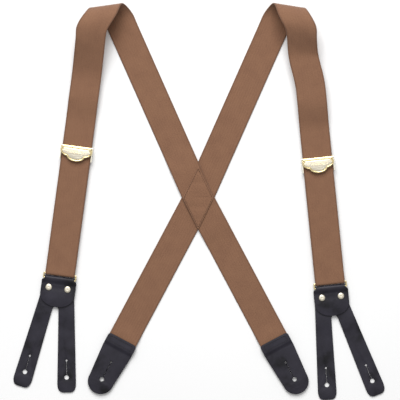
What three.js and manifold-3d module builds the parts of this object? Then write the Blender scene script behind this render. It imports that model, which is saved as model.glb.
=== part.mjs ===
// Dress suspenders with an X back, laid flat: elastic webbing, sewn leather rear tabs, button-on
// leather front ends on wire loops, and hinged slide adjusters. Millimetres, +Z up from the floor,
// +Y towards the shoulders, origin under the middle of the crossing.
import * as THREE from "three";
import { mergeVertices } from "three/addons/utils/BufferGeometryUtils.js";
import Module from "manifold-3d";

const wasm = await Module();
wasm.setup();

// ---- Driving dimensions -------------------------------------------------------------------------

const GAP = 0.3; // between faces that touch on the real piece
const RUNNING_GAP = 0.08; // radial, a pin in its bore
const WEB_WIDTH = 38.1;
const WEB_THICK = 1.6;
const LEATHER_THICK = 1.8;
const THREAD = 0.6;

// The back: two straps that cross, each bent a little where they are sewn together.
const UPPER_ARM_ANGLE = 23.9; // degrees from the Y axis
const LOWER_ARM_ANGLE = 28.0;
const LOWER_ARM_LENGTH = 206;
const CROSS_RAMP = 32; // the upper strap's slope down to the floor past the crossing
const PATCH_THICK = 1.3;
const PATCH_INSET = 1.2;
const SEAM_INSET = 2.6;

// The bend at each shoulder, where the front run turns over the back run.
const SHOULDER_Y = 246.5;
const SHOULDER_HEIGHT = 31;
const LOWER_CURL = 19; // length of the curl from the floor to its foremost point
const UPPER_CURL = 25;
const SHIFT_BEFORE = 30; // the sideways step from the back run to the front run, along the strap
const SHIFT_AFTER = 44;

// The front run of each side. The lean is inwards, going up, and front_x is at the adjuster.
const SIDES = [
  {
    name: "left", side: -1, onTop: true, adjusterX: 155.5, adjusterY: 67, lean: 7.7, loopY: -98.1,
    lowRise: 4, lowFrom: 100, lowTo: 130, highFrom: 150, sway: 0, outerLeg: 9.2, innerLeg: 7.8,
  },
  {
    name: "right", side: 1, onTop: false, adjusterX: 153.2, adjusterY: 52.5, lean: 5.8, loopY: -109.1,
    lowRise: 8, lowFrom: 86, lowTo: 126, highFrom: 178, sway: 5.5, outerLeg: 16.5, innerLeg: 2.7,
  },
];
const SWAY_FROM = 140;
const SWAY_TO = 190;

// The adjuster, measured down the strap from its straight top edge.
const BAR_DIAMETER = 1.2;
const BAR_DROP = 17;
const BAR_PLAY = 0.15;
const SIDE_PLAY = 0.45; // webbing to each cheek
const SHEET = 1.0;
const CHEEK_END = 18.8;
const BACK_PLATE_FROM = 3.4;
const BACK_PLATE_TO = 12.4;
const PIN_DIAMETER = 1.6;
const COVER_DEPTH = 20.3;
const COVER_WIDTH = 41.2;
const COVER_RIM = 2.0;
const COVER_RIM_HEIGHT = 0.6;
const CAM_TEETH = 11;
const CAM_WIDTH = 32;
const SPLIT_DROP = 21.5; // the front run is two solids from here down
const WRAP_LENGTH = 39;
const FLAP_LENGTH = 34;
const FLAP_SLOPE = 8;

// The wire loop that links webbing and leather.
const WIRE_DIAMETER = 2.2;
const WIRE_PLAY = 0.15;
const FOLD_GAP = 0.4; // between the webbing's fold and the leather's on the loop
const LOOP_CORNER = 1.2;
const LOOP_SIDE_PLAY = 0.4;
const WEB_SETTLE = 20; // where the run past the loop has reached its own height

// The front leather end: a forked piece folded over the loop, with a short round tongue.
const FLAP_HALF_WIDTH = 22.3;
const NECK_PLAY = 0.15;
const SHOULDER_RADIUS = 2.6;
const TONGUE_LENGTH = 36.5;
const TONGUE_STRAIGHT = 20;
const BODY_LENGTH = 40;
const FORK_LENGTH = 147; // fold to the ends of the legs
const LEG_ROOT_WIDTH = 20.5;
const LEG_END_WIDTH = 24;
const LEG_CORNER = 8.5;
const LEG_ROOT_X = 12.4;
const RIVET_X = 12.2;
const RIVET_DROP = 12;
const CAP_DIAMETER = 8.5;
const CAP_HEIGHT = 1.7;
const POST_DIAMETER = 2.6;
const SOCKET_WALL = 0.6;
const BASE_DIAMETER = 7.6;
const BASE_THICK = 0.8;

// Buttonholes: a round eye, a slit and a small stop hole.
const EYE_DIAMETER = 6;
const STOP_DIAMETER = 2.8;
const SLIT_WIDTH = 0.4;
const SLIT_LENGTH = 22;
const EYE_FROM_END = 19.5;

// The rear tab: two leather layers sewn over the end of the webbing.
const TAB_LENGTH = 78;
const TAB_HALF_WIDTH = 20;
const TAB_END_RADIUS = 16.8;
const TAB_STRAIGHT = 18;
const TAB_CORNER = 4;
const TAB_LAP = 12;
const TAB_SLIT = 25;
const TAB_SEAM_HALF = 15.5;

// ---- Values that follow -------------------------------------------------------------------------

const RAD = Math.PI / 180;
const SKEW_KEPT = 45; // the distance from the bend up to which the webbing keeps its axis
const SKEW_GONE = 105; // the distance at which the line across is square to the strap
const WEB_HALF = WEB_WIDTH / 2;
const FOLD_INNER = WIRE_DIAMETER / 2 + WIRE_PLAY;
const LOOP_PITCH = 2 * FOLD_INNER + WEB_THICK + LEATHER_THICK + FOLD_GAP; // between the loop's two bars
const LEATHER_FOLD = FOLD_INNER + LEATHER_THICK;
const BASE_TOP = BASE_THICK + GAP; // underside of the leather that the rivets hold
const LOOP_Z = BASE_TOP + LEATHER_FOLD;
const WEB_LAYER = FOLD_INNER + WEB_THICK / 2;
const BAR_FOLD = BAR_DIAMETER / 2 + BAR_PLAY + WEB_THICK / 2;
const BAR_Z = WEB_THICK / 2 + BAR_FOLD;
const FRONT_UNDER = BAR_Z + BAR_FOLD + WEB_THICK / 2 + GAP; // underside of the front run
const FRONT_MID = FRONT_UNDER + WEB_THICK / 2;
const FRONT_TOP = FRONT_UNDER + WEB_THICK;
const CHEEK_INNER = WEB_HALF + SIDE_PLAY;
const CHEEK_OUTER = CHEEK_INNER + SHEET;
const BARREL_RADIUS = PIN_DIAMETER / 2 + RUNNING_GAP + 0.72;
const PIN_Z = FRONT_TOP + GAP + BARREL_RADIUS;
const COVER_UNDER = PIN_Z + BARREL_RADIUS - SHEET;
const TONGUE_UNDER = BASE_TOP + LEATHER_THICK + GAP;

const smooth = (value, from, to) => THREE.MathUtils.smoothstep(value, from, to);
const mix = THREE.MathUtils.lerp;
const steps = (from, to, count) => Array.from({ length: count + 1 }, (_, i) => mix(from, to, i / count));

const COLOURS = {
  webbing: [0x8c6850, 0.85, 0],
  leather: [0x38363e, 0.5, 0],
  brass: [0xe6d9b4, 0.3, 0.9],
  steel: [0xc8c8c4, 0.35, 1],
  thread: [0x6e4e3a, 0.9, 0],
  blackThread: [0x26242a, 0.9, 0],
};

function material(kind) {
  const [color, roughness, metalness] = COLOURS[kind];
  return new THREE.MeshStandardMaterial({ color, roughness, metalness });
}

function named(name, geometry, kind) {
  const mesh = new THREE.Mesh(geometry, material(kind));
  mesh.name = name;
  return mesh;
}

// ---- Solids -------------------------------------------------------------------------------------

function toSolid(geometry) {
  const bare = geometry.index ? geometry.toNonIndexed() : geometry.clone();
  bare.deleteAttribute("normal");
  bare.deleteAttribute("uv");
  const merged = mergeVertices(bare, 1e-4);
  return new wasm.Manifold(new wasm.Mesh({
    numProp: 3,
    vertProperties: merged.attributes.position.array,
    triVerts: new Uint32Array(merged.index.array),
  }));
}

function toGeometry(solid) {
  const { vertProperties, triVerts, numProp } = solid.getMesh();
  const geometry = new THREE.BufferGeometry();
  const position = new THREE.InterleavedBuffer(vertProperties, numProp);
  geometry.setAttribute("position", new THREE.InterleavedBufferAttribute(position, 3, 0));
  geometry.setIndex(new THREE.BufferAttribute(triVerts, 1));
  const flat = geometry.toNonIndexed();
  flat.computeVertexNormals();
  return flat;
}

// An outline in X and Y as a plate from one height to another.
function plate(outline, bottom, top, curveSegments = 10) {
  const geometry = new THREE.ExtrudeGeometry(outline, { depth: top - bottom, bevelEnabled: false, curveSegments });
  return geometry.translate(0, 0, bottom);
}

// An outline in Y (its x) and Z (its y), extruded across X.
function across(outline, halfWidth, curveSegments = 10) {
  const geometry = new THREE.ExtrudeGeometry(outline, { depth: 2 * halfWidth, bevelEnabled: false, curveSegments });
  geometry.translate(0, 0, -halfWidth);
  const turn = new THREE.Matrix4().set(0, 0, 1, 0, 1, 0, 0, 0, 0, 1, 0, 0, 0, 0, 0, 1);
  return geometry.applyMatrix4(turn);
}

function roundBar(diameter, halfLength, y, z, sides = 20) {
  const circle = new THREE.Shape().absarc(y, z, diameter / 2, 0, 2 * Math.PI);
  return across(circle, halfLength, sides / 2);
}

function box(xs, ys, zs) {
  const geometry = new THREE.BoxGeometry(xs[1] - xs[0], ys[1] - ys[0], zs[1] - zs[0]);
  return geometry.translate((xs[0] + xs[1]) / 2, (ys[0] + ys[1]) / 2, (zs[0] + zs[1]) / 2);
}

function disc(x, y, diameter, bottom, top) {
  return plate(new THREE.Shape().absarc(x, y, diameter / 2, 0, 2 * Math.PI), bottom, top, 12);
}

// The side view of a bent sheet: a strip of even thickness along a line of [y, z] points.
function bentSheet(points, thickness) {
  const line = points.map(([y, z]) => new THREE.Vector2(y, z));
  const offset = (sign) => line.map((point, i) => {
    const ahead = line[Math.min(i + 1, line.length - 1)].clone().sub(point);
    const behind = point.clone().sub(line[Math.max(i - 1, 0)]);
    const before = (behind.length() ? behind : ahead).clone().normalize();
    const after = (ahead.length() ? ahead : behind).clone().normalize();
    const normal = new THREE.Vector2(-before.y - after.y, before.x + after.x).normalize();
    const reach = (sign * thickness) / 2 / normal.dot(new THREE.Vector2(-after.y, after.x));
    return point.clone().addScaledVector(normal, reach);
  });
  return new THREE.Shape([...offset(1), ...offset(-1).reverse()]);
}

// Webbing goes through each of its points, which lie closer together where it bends. Its width is
// level and square to the path where that runs level, and turns to stay near "widthways" where it is steep.
class WebbingPath extends THREE.CatmullRomCurve3 {
  constructor(points, widthways) {
    super(points, false, "centripetal");
    this.widthways = widthways;
    this.runs = [0];
    for (let i = 1; i < points.length; i++) this.runs.push(this.runs[i - 1] + points[i].distanceTo(points[i - 1]));
    this.nose = this.runs[points.reduce((best, p, i) => (p.y > points[best].y ? i : best), 0)];
  }

  // The line across the webbing is always level, so that its height is the same right across. Near the bend it
  // stays along the bend's axis, and further off it turns square to the strap.
  acrossAt(tangent, run) {
    const level = new THREE.Vector3(tangent.y, -tangent.x, 0);
    if (level.length() < 1e-3) return this.widthways.clone();
    level.normalize().multiplyScalar(Math.sign(level.dot(this.widthways)) || 1);
    return level.lerp(this.widthways, 1 - smooth(Math.abs(run - this.nose), SKEW_KEPT, SKEW_GONE)).normalize();
  }

  getSpacedPoints() {
    return this.points;
  }

  computeFrenetFrames(count) {
    const frames = { tangents: [], normals: [], binormals: [] };
    steps(0, 1, count).forEach((t, i) => {
      const tangent = this.getTangent(t);
      const across = this.acrossAt(tangent, this.runs[i]);
      frames.tangents.push(tangent);
      frames.normals.push(new THREE.Vector3().crossVectors(across, tangent).normalize());
      frames.binormals.push(across.divideScalar(Math.sqrt(1 - across.dot(tangent) ** 2)));
    });
    return frames;
  }
}

function webbing(points, widthways) {
  const edge = WEB_THICK / 3;
  const [h, w] = [WEB_THICK / 2, WEB_HALF];
  const section = new THREE.Shape();
  section.moveTo(-h, -w + edge).lineTo(-h + edge / 2, -w).lineTo(h - edge / 2, -w).lineTo(h, -w + edge);
  section.lineTo(h, w - edge).lineTo(h - edge / 2, w).lineTo(-h + edge / 2, w).lineTo(-h, w - edge).closePath();
  const path = new WebbingPath(points, widthways);
  return new THREE.ExtrudeGeometry(section, { steps: points.length - 1, extrudePath: path, curveSegments: 1 });
}

// ---- Where the straps run -----------------------------------------------------------------------

const armX = (side, y) => side * y * Math.tan((y > 0 ? UPPER_ARM_ANGLE : LOWER_ARM_ANGLE) * RAD);

function frontX(end, y) {
  const straight = end.adjusterX - (y - end.adjusterY) * Math.tan(end.lean * RAD);
  return end.side * (straight - end.sway * smooth(y, SWAY_FROM, SWAY_TO));
}

// Half the length of the overlap of the two straps, along one of them.
const CROSS_ANGLE = (UPPER_ARM_ANGLE + LOWER_ARM_ANGLE) * RAD;
const CROSS_REACH = WEB_HALF / Math.sin(CROSS_ANGLE) + WEB_HALF / Math.tan(CROSS_ANGLE);

function backHeight(end, distance) {
  const away = Math.abs(distance);
  const over = end.onTop ? (WEB_THICK + GAP) * (1 - smooth(away, CROSS_REACH + 2, CROSS_REACH + CROSS_RAMP)) : 0;
  const tab = (LEATHER_THICK + GAP) * smooth(-distance, LOWER_ARM_LENGTH - 22, LOWER_ARM_LENGTH - 2);
  return WEB_THICK / 2 + over + tab;
}

function frontHeight(end, y) {
  const low = end.lowRise * smooth(y, end.lowFrom, end.lowTo);
  const high = (SHOULDER_HEIGHT - FRONT_MID - end.lowRise) * smooth(y, end.highFrom, SHOULDER_Y - UPPER_CURL);
  return FRONT_MID + low + high;
}

function backRun(end) {
  const foot = SHOULDER_Y - LOWER_CURL;
  const top = foot / Math.cos(UPPER_ARM_ANGLE * RAD);
  const bottom = -LOWER_ARM_LENGTH - TAB_LAP;
  return steps(bottom, top - 8, 44).map((distance) => {
    const angle = distance > 0 ? UPPER_ARM_ANGLE : LOWER_ARM_ANGLE;
    const y = distance * Math.cos(angle * RAD);
    return new THREE.Vector3(armX(end.side, y), y, backHeight(end, distance));
  });
}

// The curl, as [y, z] from the floor round its foremost point to its top.
function curl() {
  const low = WEB_THICK / 2;
  const middle = (low + SHOULDER_HEIGHT) / 2;
  const radius = (SHOULDER_HEIGHT - low) / 2;
  return steps(-90, 90, 14).map((angle) => {
    const reach = angle < 0 ? LOWER_CURL : UPPER_CURL;
    return [SHOULDER_Y - reach * (1 - Math.cos(angle * RAD)), middle + radius * Math.sin(angle * RAD)];
  });
}

function strapPoints(end) {
  const back = backRun(end);
  const stop = end.adjusterY - SPLIT_DROP * Math.cos(end.lean * RAD);
  const fall = steps(SHOULDER_Y - UPPER_CURL - 6, end.lowFrom - 6, 14).map((y) => [y, frontHeight(end, y)]);
  const side = [...curl(), ...fall];
  let run = 0;
  const runs = side.map(([y, z], i) => (run += i ? Math.hypot(y - side[i - 1][0], z - side[i - 1][1]) : 0));
  const nose = runs[7];
  const bend = side.map(([y, z], i) => {
    const weight = smooth(runs[i], nose - SHIFT_BEFORE, nose + SHIFT_AFTER);
    return new THREE.Vector3(mix(armX(end.side, y), frontX(end, y), weight), y, z);
  });
  const front = steps(end.lowFrom - 14, stop, 6).map((y) => new THREE.Vector3(frontX(end, y), y, FRONT_MID));
  return [...back, ...bend, ...front];
}

// The direction that the strap's width keeps through the bend: square to the change of direction.
function bendAxis(end) {
  const up = new THREE.Vector3(-end.side * Math.sin(end.lean * RAD), Math.cos(end.lean * RAD), 0);
  const arm = UPPER_ARM_ANGLE * RAD;
  const down = new THREE.Vector3(-end.side * Math.sin(arm), -Math.cos(arm), 0);
  const change = up.sub(down).normalize();
  return new THREE.Vector3(change.y, -change.x, 0);
}

function strap(end) {
  return named(`strap_${end.name}`, webbing(strapPoints(end), bendAxis(end)), "webbing");
}

// ---- The crossing -------------------------------------------------------------------------------

const PATCH_UNDER = 2 * (WEB_THICK + GAP);
const MEAN_ARM = CROSS_ANGLE / 2;

function diamond(inset) {
  const half = WEB_HALF - inset;
  const tall = half / Math.sin(MEAN_ARM);
  const wide = half / Math.cos(MEAN_ARM);
  return [[0, -tall], [wide, 0], [0, tall], [-wide, 0]].map(([x, y]) => new THREE.Vector2(x, y));
}

function threadFrame(outer, inner, bottom) {
  const shape = new THREE.Shape(outer);
  shape.holes.push(new THREE.Path(inner));
  return plate(shape, bottom, bottom + THREAD);
}

function crossing() {
  const patch = plate(new THREE.Shape(diamond(PATCH_INSET)), PATCH_UNDER, PATCH_UNDER + PATCH_THICK);
  const seam = threadFrame(diamond(SEAM_INSET), diamond(SEAM_INSET + THREAD), PATCH_UNDER + PATCH_THICK + GAP);
  return [named("cross_patch", patch, "webbing"), named("cross_patch_seam", seam, "thread")];
}

// ---- Rear tabs ----------------------------------------------------------------------------------

function tabOutline() {
  const slope = Math.asin((TAB_HALF_WIDTH - TAB_END_RADIUS) / (TAB_LENGTH - TAB_STRAIGHT - TAB_END_RADIUS));
  const centre = -(TAB_LENGTH - TAB_END_RADIUS);
  const outline = new THREE.Shape();
  outline.moveTo(-TAB_HALF_WIDTH + TAB_CORNER, 0).lineTo(TAB_HALF_WIDTH - TAB_CORNER, 0);
  outline.absarc(TAB_HALF_WIDTH - TAB_CORNER, -TAB_CORNER, TAB_CORNER, Math.PI / 2, 0, true);
  outline.lineTo(TAB_HALF_WIDTH, -TAB_STRAIGHT);
  outline.absarc(0, centre, TAB_END_RADIUS, slope, Math.PI - slope, true);
  outline.lineTo(-TAB_HALF_WIDTH, -TAB_STRAIGHT);
  outline.absarc(-TAB_HALF_WIDTH + TAB_CORNER, -TAB_CORNER, TAB_CORNER, Math.PI, Math.PI / 2, true);
  return outline;
}

// The keyhole's cutters, with the eye at a point and the slit running up from it.
function buttonhole(x, y, angle, slit) {
  const stop = [x - slit * Math.sin(angle), y + slit * Math.cos(angle)];
  const long = box([-SLIT_WIDTH / 2, SLIT_WIDTH / 2], [0, slit], [-2, 9]);
  return [
    disc(x, y, EYE_DIAMETER, -2, 9),
    disc(...stop, STOP_DIAMETER, -2, 9),
    long.rotateZ(angle).translate(x, y, 0),
  ].map(toSolid);
}

function tabLayer(heights, cutters) {
  const sheet = toSolid(across(bentSheet(heights, LEATHER_THICK), TAB_HALF_WIDTH + 2));
  const shape = toSolid(plate(tabOutline(), -3, 12, 16));
  return toGeometry(cutters.reduce((solid, cutter) => solid.subtract(cutter), sheet.intersect(shape)));
}

function rearTab(end) {
  const low = LEATHER_THICK / 2;
  const high = 2 * LEATHER_THICK + WEB_THICK + 3 * GAP - LEATHER_THICK / 2 - GAP;
  const flat = low + LEATHER_THICK + GAP;
  const cutters = buttonhole(0, -(TAB_LENGTH - EYE_FROM_END), 0, TAB_SLIT);
  const over = [[2, high], [-TAB_LAP - 1, high], [-TAB_LAP - 7, flat], [-TAB_LENGTH - 2, flat]];
  const seamY = [-2.6, -9.8];
  const seamZ = high + LEATHER_THICK / 2 + GAP;
  const ring = (half, top, bottom) => [[-half, bottom], [half, bottom], [half, top], [-half, top]]
    .map(([x, y]) => new THREE.Vector2(x, y));
  const outer = ring(TAB_SEAM_HALF, seamY[0], seamY[1]);
  const inner = ring(TAB_SEAM_HALF - THREAD, seamY[0] - THREAD, seamY[1] + THREAD);
  const group = new THREE.Group();
  group.add(
    named(`rear_tab_${end.name}_back`, tabLayer([[2, low], [-TAB_LENGTH - 2, low]], cutters), "leather"),
    named(`rear_tab_${end.name}_front`, tabLayer(over, cutters), "leather"),
    named(`rear_tab_${end.name}_seam`, threadFrame(outer, inner, seamZ), "blackThread"),
  );
  // This strap's rear end lies on the other side of the crossing from its shoulder.
  const arm = LOWER_ARM_ANGLE * RAD;
  group.position.set(-end.side * LOWER_ARM_LENGTH * Math.sin(arm), -LOWER_ARM_LENGTH * Math.cos(arm), 0);
  group.rotation.z = -end.side * arm;
  return group;
}

// ---- Adjuster -----------------------------------------------------------------------------------

// Local frame: X across the strap, Y up the strap from the cover's top edge, Z up from the floor.
const PIN_Y = -BARREL_RADIUS;

function adjusterFrame(end) {
  const cheek = (sign) => {
    const xs = sign < 0 ? [-CHEEK_OUTER, -CHEEK_INNER] : [CHEEK_INNER, CHEEK_OUTER];
    const wall = box(xs, [-CHEEK_END, PIN_Y + 0.4], [1, COVER_UNDER - 0.4]);
    const ear = roundBar(PIN_DIAMETER + 2 * RUNNING_GAP + 1.7, SHEET / 2, PIN_Y, PIN_Z);
    ear.translate((xs[0] + xs[1]) / 2, 0, 0);
    return [wall, ear];
  };
  const back = box([-CHEEK_INNER - 0.5, CHEEK_INNER + 0.5], [-BACK_PLATE_TO, -BACK_PLATE_FROM],
    [FRONT_UNDER - 0.4 - SHEET, FRONT_UNDER - 0.4]);
  const bar = roundBar(BAR_DIAMETER, CHEEK_OUTER - 0.2, -BAR_DROP, BAR_Z);
  const pieces = [...cheek(-1), ...cheek(1), back, bar].map(toSolid);
  const joined = pieces.reduce((solid, piece) => solid.add(piece));
  const bore = toSolid(roundBar(PIN_DIAMETER + 2 * RUNNING_GAP, CHEEK_OUTER + 1, PIN_Y, PIN_Z));
  return named(`adjuster_${end.name}_frame`, toGeometry(joined.subtract(bore)), "brass");
}

// Half of the shell-shaped edge, from the top corner to the middle of the lower lobe, then mirrored.
function coverOutline(inset) {
  const top = PIN_Y - inset;
  const neck = WEB_HALF + 0.15 - inset;
  const wide = COVER_WIDTH / 2 - inset;
  const step = -4.6 - inset;
  const notch = [11.2 - inset / 2, -14.6 + inset];
  const depth = -COVER_DEPTH + inset;
  const outline = new THREE.Shape();
  outline.moveTo(0, top).lineTo(-neck, top).lineTo(-neck, step + 0.4).lineTo(-wide, step);
  outline.bezierCurveTo(-wide - 0.4, -9.5, -17.5 + inset, -13.6 + inset, -notch[0], notch[1]);
  outline.bezierCurveTo(-notch[0] + 0.8, depth + 1.9, -4.6, depth, 0, depth);
  outline.bezierCurveTo(4.6, depth, notch[0] - 0.8, depth + 1.9, notch[0], notch[1]);
  outline.bezierCurveTo(17.5 - inset, -13.6 + inset, wide + 0.4, -9.5, wide, step);
  outline.lineTo(neck, step + 0.4).lineTo(neck, top).closePath();
  return outline;
}

function adjusterCover(end) {
  const skin = COVER_UNDER + SHEET;
  const body = toSolid(plate(coverOutline(0), COVER_UNDER, skin + COVER_RIM_HEIGHT, 14));
  const field = toSolid(plate(coverOutline(COVER_RIM), skin, skin + 3, 14));
  const barrelHalf = WEB_HALF + 0.15;
  const barrel = toSolid(roundBar(2 * BARREL_RADIUS, barrelHalf, PIN_Y, PIN_Z, 24));
  const camTop = COVER_UNDER + SHEET / 2;
  const camY = PIN_Y - BARREL_RADIUS - 1;
  const tip = FRONT_TOP + GAP;
  const ridge = toSolid(box([-CAM_WIDTH / 2, CAM_WIDTH / 2], [camY - 1.6, camY], [tip + 0.9, camTop]));
  const pitch = CAM_WIDTH / CAM_TEETH;
  const teeth = steps(0, CAM_TEETH - 1, CAM_TEETH - 1).map((i) => {
    const x = (i - (CAM_TEETH - 1) / 2) * pitch;
    const tooth = new THREE.ConeGeometry(0.8, 1.2, 6).rotateX(-Math.PI / 2);
    return toSolid(tooth.translate(x, camY - 0.8, tip + 0.6));
  });
  const bore = toSolid(roundBar(PIN_DIAMETER + 2 * RUNNING_GAP, barrelHalf + 1, PIN_Y, PIN_Z));
  const shell = body.subtract(field).add(barrel).add(ridge);
  const toothed = teeth.reduce((solid, tooth) => solid.add(tooth), shell);
  return named(`adjuster_${end.name}_cover`, toGeometry(toothed.subtract(bore)), "brass");
}

function adjusterPin(end) {
  const pin = roundBar(PIN_DIAMETER, CHEEK_OUTER, PIN_Y, PIN_Z);
  return named(`adjuster_${end.name}_pin`, pin, "steel");
}

// The end of the strap: up behind, round the bar, and back down as a short flap.
function sewnEnd(end) {
  const at = (y, z) => new THREE.Vector3(0, y, z);
  const low = WEB_THICK / 2;
  const rise = steps(-WRAP_LENGTH, -BAR_DROP - 2, 5).map((y) => at(y, low));
  const turn = steps(-90, 90, 8).map((angle) => (
    at(-BAR_DROP + BAR_FOLD * Math.cos(angle * RAD), BAR_Z + BAR_FOLD * Math.sin(angle * RAD))
  ));
  const lid = low + WEB_THICK + GAP;
  const flap = steps(-BAR_DROP - 1.5, -FLAP_LENGTH, 7).map((y) => {
    return at(y, mix(BAR_Z + BAR_FOLD, lid, smooth(-y, BAR_DROP, BAR_DROP + FLAP_SLOPE)));
  });
  const geometry = webbing([...rise, ...turn, ...flap], new THREE.Vector3(1, 0, 0));
  const box4 = (half, top, bottom) => [[-half, bottom], [half, bottom], [half, top], [-half, top]]
    .map(([x, y]) => new THREE.Vector2(x, y));
  const seamTop = -BAR_DROP - FLAP_SLOPE - 1.5;
  const outer = box4(WEB_HALF - 3, seamTop, -FLAP_LENGTH + 1.5);
  const inner = box4(WEB_HALF - 3 - THREAD, seamTop - THREAD, -FLAP_LENGTH + 1.5 + THREAD);
  return [
    named(`strap_${end.name}_sewn_end`, geometry, "webbing"),
    named(`strap_${end.name}_end_seam`, threadFrame(outer, inner, lid + WEB_THICK / 2 + GAP), "thread"),
  ];
}

function adjuster(end) {
  const group = new THREE.Group();
  group.add(adjusterFrame(end), adjusterPin(end), adjusterCover(end), ...sewnEnd(end));
  group.position.set(frontX(end, end.adjusterY), end.adjusterY, 0);
  group.rotation.z = end.side * end.lean * RAD;
  return group;
}

// ---- Lower run, wire loop and front leather end --------------------------------------------------

// Local frame of these: origin on the strap's line at the loop's upper bar, Y up the strap.
function alongFront(end, y) {
  return (y - end.loopY) / Math.cos(end.lean * RAD);
}

function lowerRun(end) {
  const at = (y, z) => new THREE.Vector3(0, y, z);
  const top = alongFront(end, end.adjusterY);
  const settle = (y) => smooth(y, 0, WEB_SETTLE);
  const front = steps(top - SPLIT_DROP - GAP, WEB_SETTLE, 6).map((y) => at(y, FRONT_MID));
  const dip = steps(WEB_SETTLE - 4, 2, 6).map((y) => at(y, mix(LOOP_Z + WEB_LAYER, FRONT_MID, settle(y))));
  const turn = steps(90, 270, 10).map((angle) => (
    at(WEB_LAYER * Math.cos(angle * RAD), LOOP_Z + WEB_LAYER * Math.sin(angle * RAD))
  ));
  const low = WEB_THICK / 2;
  const fall = steps(2, WEB_SETTLE - 4, 6).map((y) => at(y, mix(LOOP_Z - WEB_LAYER, low, settle(y))));
  const back = steps(WEB_SETTLE, top - WRAP_LENGTH - GAP, 6).map((y) => at(y, low));
  const points = [...front, ...dip, ...turn, ...fall, ...back];
  return named(`strap_${end.name}_lower_run`, webbing(points, new THREE.Vector3(1, 0, 0)), "webbing");
}

// A straight stretch, a quarter turn, and so on round: the wire's centre line as one closed path.
function wireLoop(end) {
  const halfWide = WEB_HALF + LOOP_SIDE_PLAY + WIRE_DIAMETER / 2;
  const corners = [[1, 0, 0], [1, -1, 270], [-1, -1, 180], [-1, 0, 90]];
  const points = corners.flatMap(([sign, down, start]) => {
    const cx = sign * (halfWide - LOOP_CORNER);
    const cy = down ? -LOOP_PITCH + LOOP_CORNER : -LOOP_CORNER;
    return steps(start + 90, start, 5).map((angle) => (
      new THREE.Vector3(cx + LOOP_CORNER * Math.cos(angle * RAD), cy + LOOP_CORNER * Math.sin(angle * RAD), LOOP_Z)
    ));
  });
  return named(`wire_loop_${end.name}`, sweptWire(points), "brass");
}

// A round wire along closed points in a flat plane, mitred at each point.
function sweptWire(points) {
  const sides = 12;
  const count = points.length;
  const position = [];
  const index = [];
  points.forEach((point, i) => {
    const before = point.clone().sub(points[(i + count - 1) % count]).normalize();
    const after = points[(i + 1) % count].clone().sub(point).normalize();
    const outward = new THREE.Vector3(before.y + after.y, -before.x - after.x, 0).normalize();
    const mitre = 1 / outward.dot(new THREE.Vector3(after.y, -after.x, 0));
    for (let j = 0; j < sides; j++) {
      const angle = (2 * Math.PI * j) / sides;
      const out = (WIRE_DIAMETER / 2) * Math.cos(angle) * mitre;
      const vertex = point.clone().addScaledVector(outward, out);
      position.push(vertex.x, vertex.y, vertex.z + (WIRE_DIAMETER / 2) * Math.sin(angle));
      const a = i * sides + j;
      const b = i * sides + ((j + 1) % sides);
      const c = ((i + 1) % count) * sides + j;
      const d = ((i + 1) % count) * sides + ((j + 1) % sides);
      index.push(a, c, b, b, c, d);
    }
  });
  const geometry = new THREE.BufferGeometry();
  geometry.setAttribute("position", new THREE.Float32BufferAttribute(position, 3));
  geometry.setIndex(index);
  return geometry;
}

const NECK = WEB_HALF + LOOP_SIDE_PLAY - LOOP_CORNER + WIRE_DIAMETER / 2 - NECK_PLAY;
const SHOULDER = -WIRE_DIAMETER / 2 - GAP;

// The neck goes through the loop, and the shoulders start just past the wire.
function flapTop(outline) {
  outline.moveTo(-NECK, LEATHER_FOLD + 1).lineTo(-NECK, SHOULDER);
  outline.lineTo(-FLAP_HALF_WIDTH + SHOULDER_RADIUS, SHOULDER);
  const y = SHOULDER - SHOULDER_RADIUS;
  outline.absarc(-FLAP_HALF_WIDTH + SHOULDER_RADIUS, y, SHOULDER_RADIUS, Math.PI / 2, Math.PI, false);
  return outline;
}

function flapClose(outline) {
  const y = SHOULDER - SHOULDER_RADIUS;
  outline.lineTo(FLAP_HALF_WIDTH, y);
  outline.absarc(FLAP_HALF_WIDTH - SHOULDER_RADIUS, y, SHOULDER_RADIUS, 0, Math.PI / 2, false);
  outline.lineTo(NECK, SHOULDER).lineTo(NECK, LEATHER_FOLD + 1).closePath();
  return outline;
}

function tongueOutline() {
  const outline = flapTop(new THREE.Shape());
  outline.lineTo(-FLAP_HALF_WIDTH, -TONGUE_STRAIGHT);
  outline.bezierCurveTo(-FLAP_HALF_WIDTH, -TONGUE_LENGTH + 6, -12, -TONGUE_LENGTH, 0, -TONGUE_LENGTH);
  outline.bezierCurveTo(12, -TONGUE_LENGTH, FLAP_HALF_WIDTH, -TONGUE_LENGTH + 6, FLAP_HALF_WIDTH, -TONGUE_STRAIGHT);
  return flapClose(outline);
}

function bodyOutline() {
  const outline = flapTop(new THREE.Shape());
  outline.lineTo(-FLAP_HALF_WIDTH, -24).lineTo(-FLAP_HALF_WIDTH + 1.5, -BODY_LENGTH + 4);
  outline.lineTo(0, -BODY_LENGTH + 5).lineTo(FLAP_HALF_WIDTH - 1.5, -BODY_LENGTH + 4);
  outline.lineTo(FLAP_HALF_WIDTH, -24);
  return flapClose(outline);
}

function legOutline(length) {
  const [root, tip] = [LEG_ROOT_WIDTH / 2, LEG_END_WIDTH / 2];
  const outline = new THREE.Shape();
  outline.moveTo(root, 0).lineTo(-root, 0).lineTo(-tip, -length + LEG_CORNER * 1.4);
  outline.bezierCurveTo(-tip, -length + 2, -tip + 4, -length, -tip + LEG_CORNER, -length);
  outline.lineTo(tip - LEG_CORNER, -length);
  outline.bezierCurveTo(tip - 4, -length, tip, -length + 2, tip, -length + LEG_CORNER * 1.4);
  return outline.closePath();
}

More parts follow.
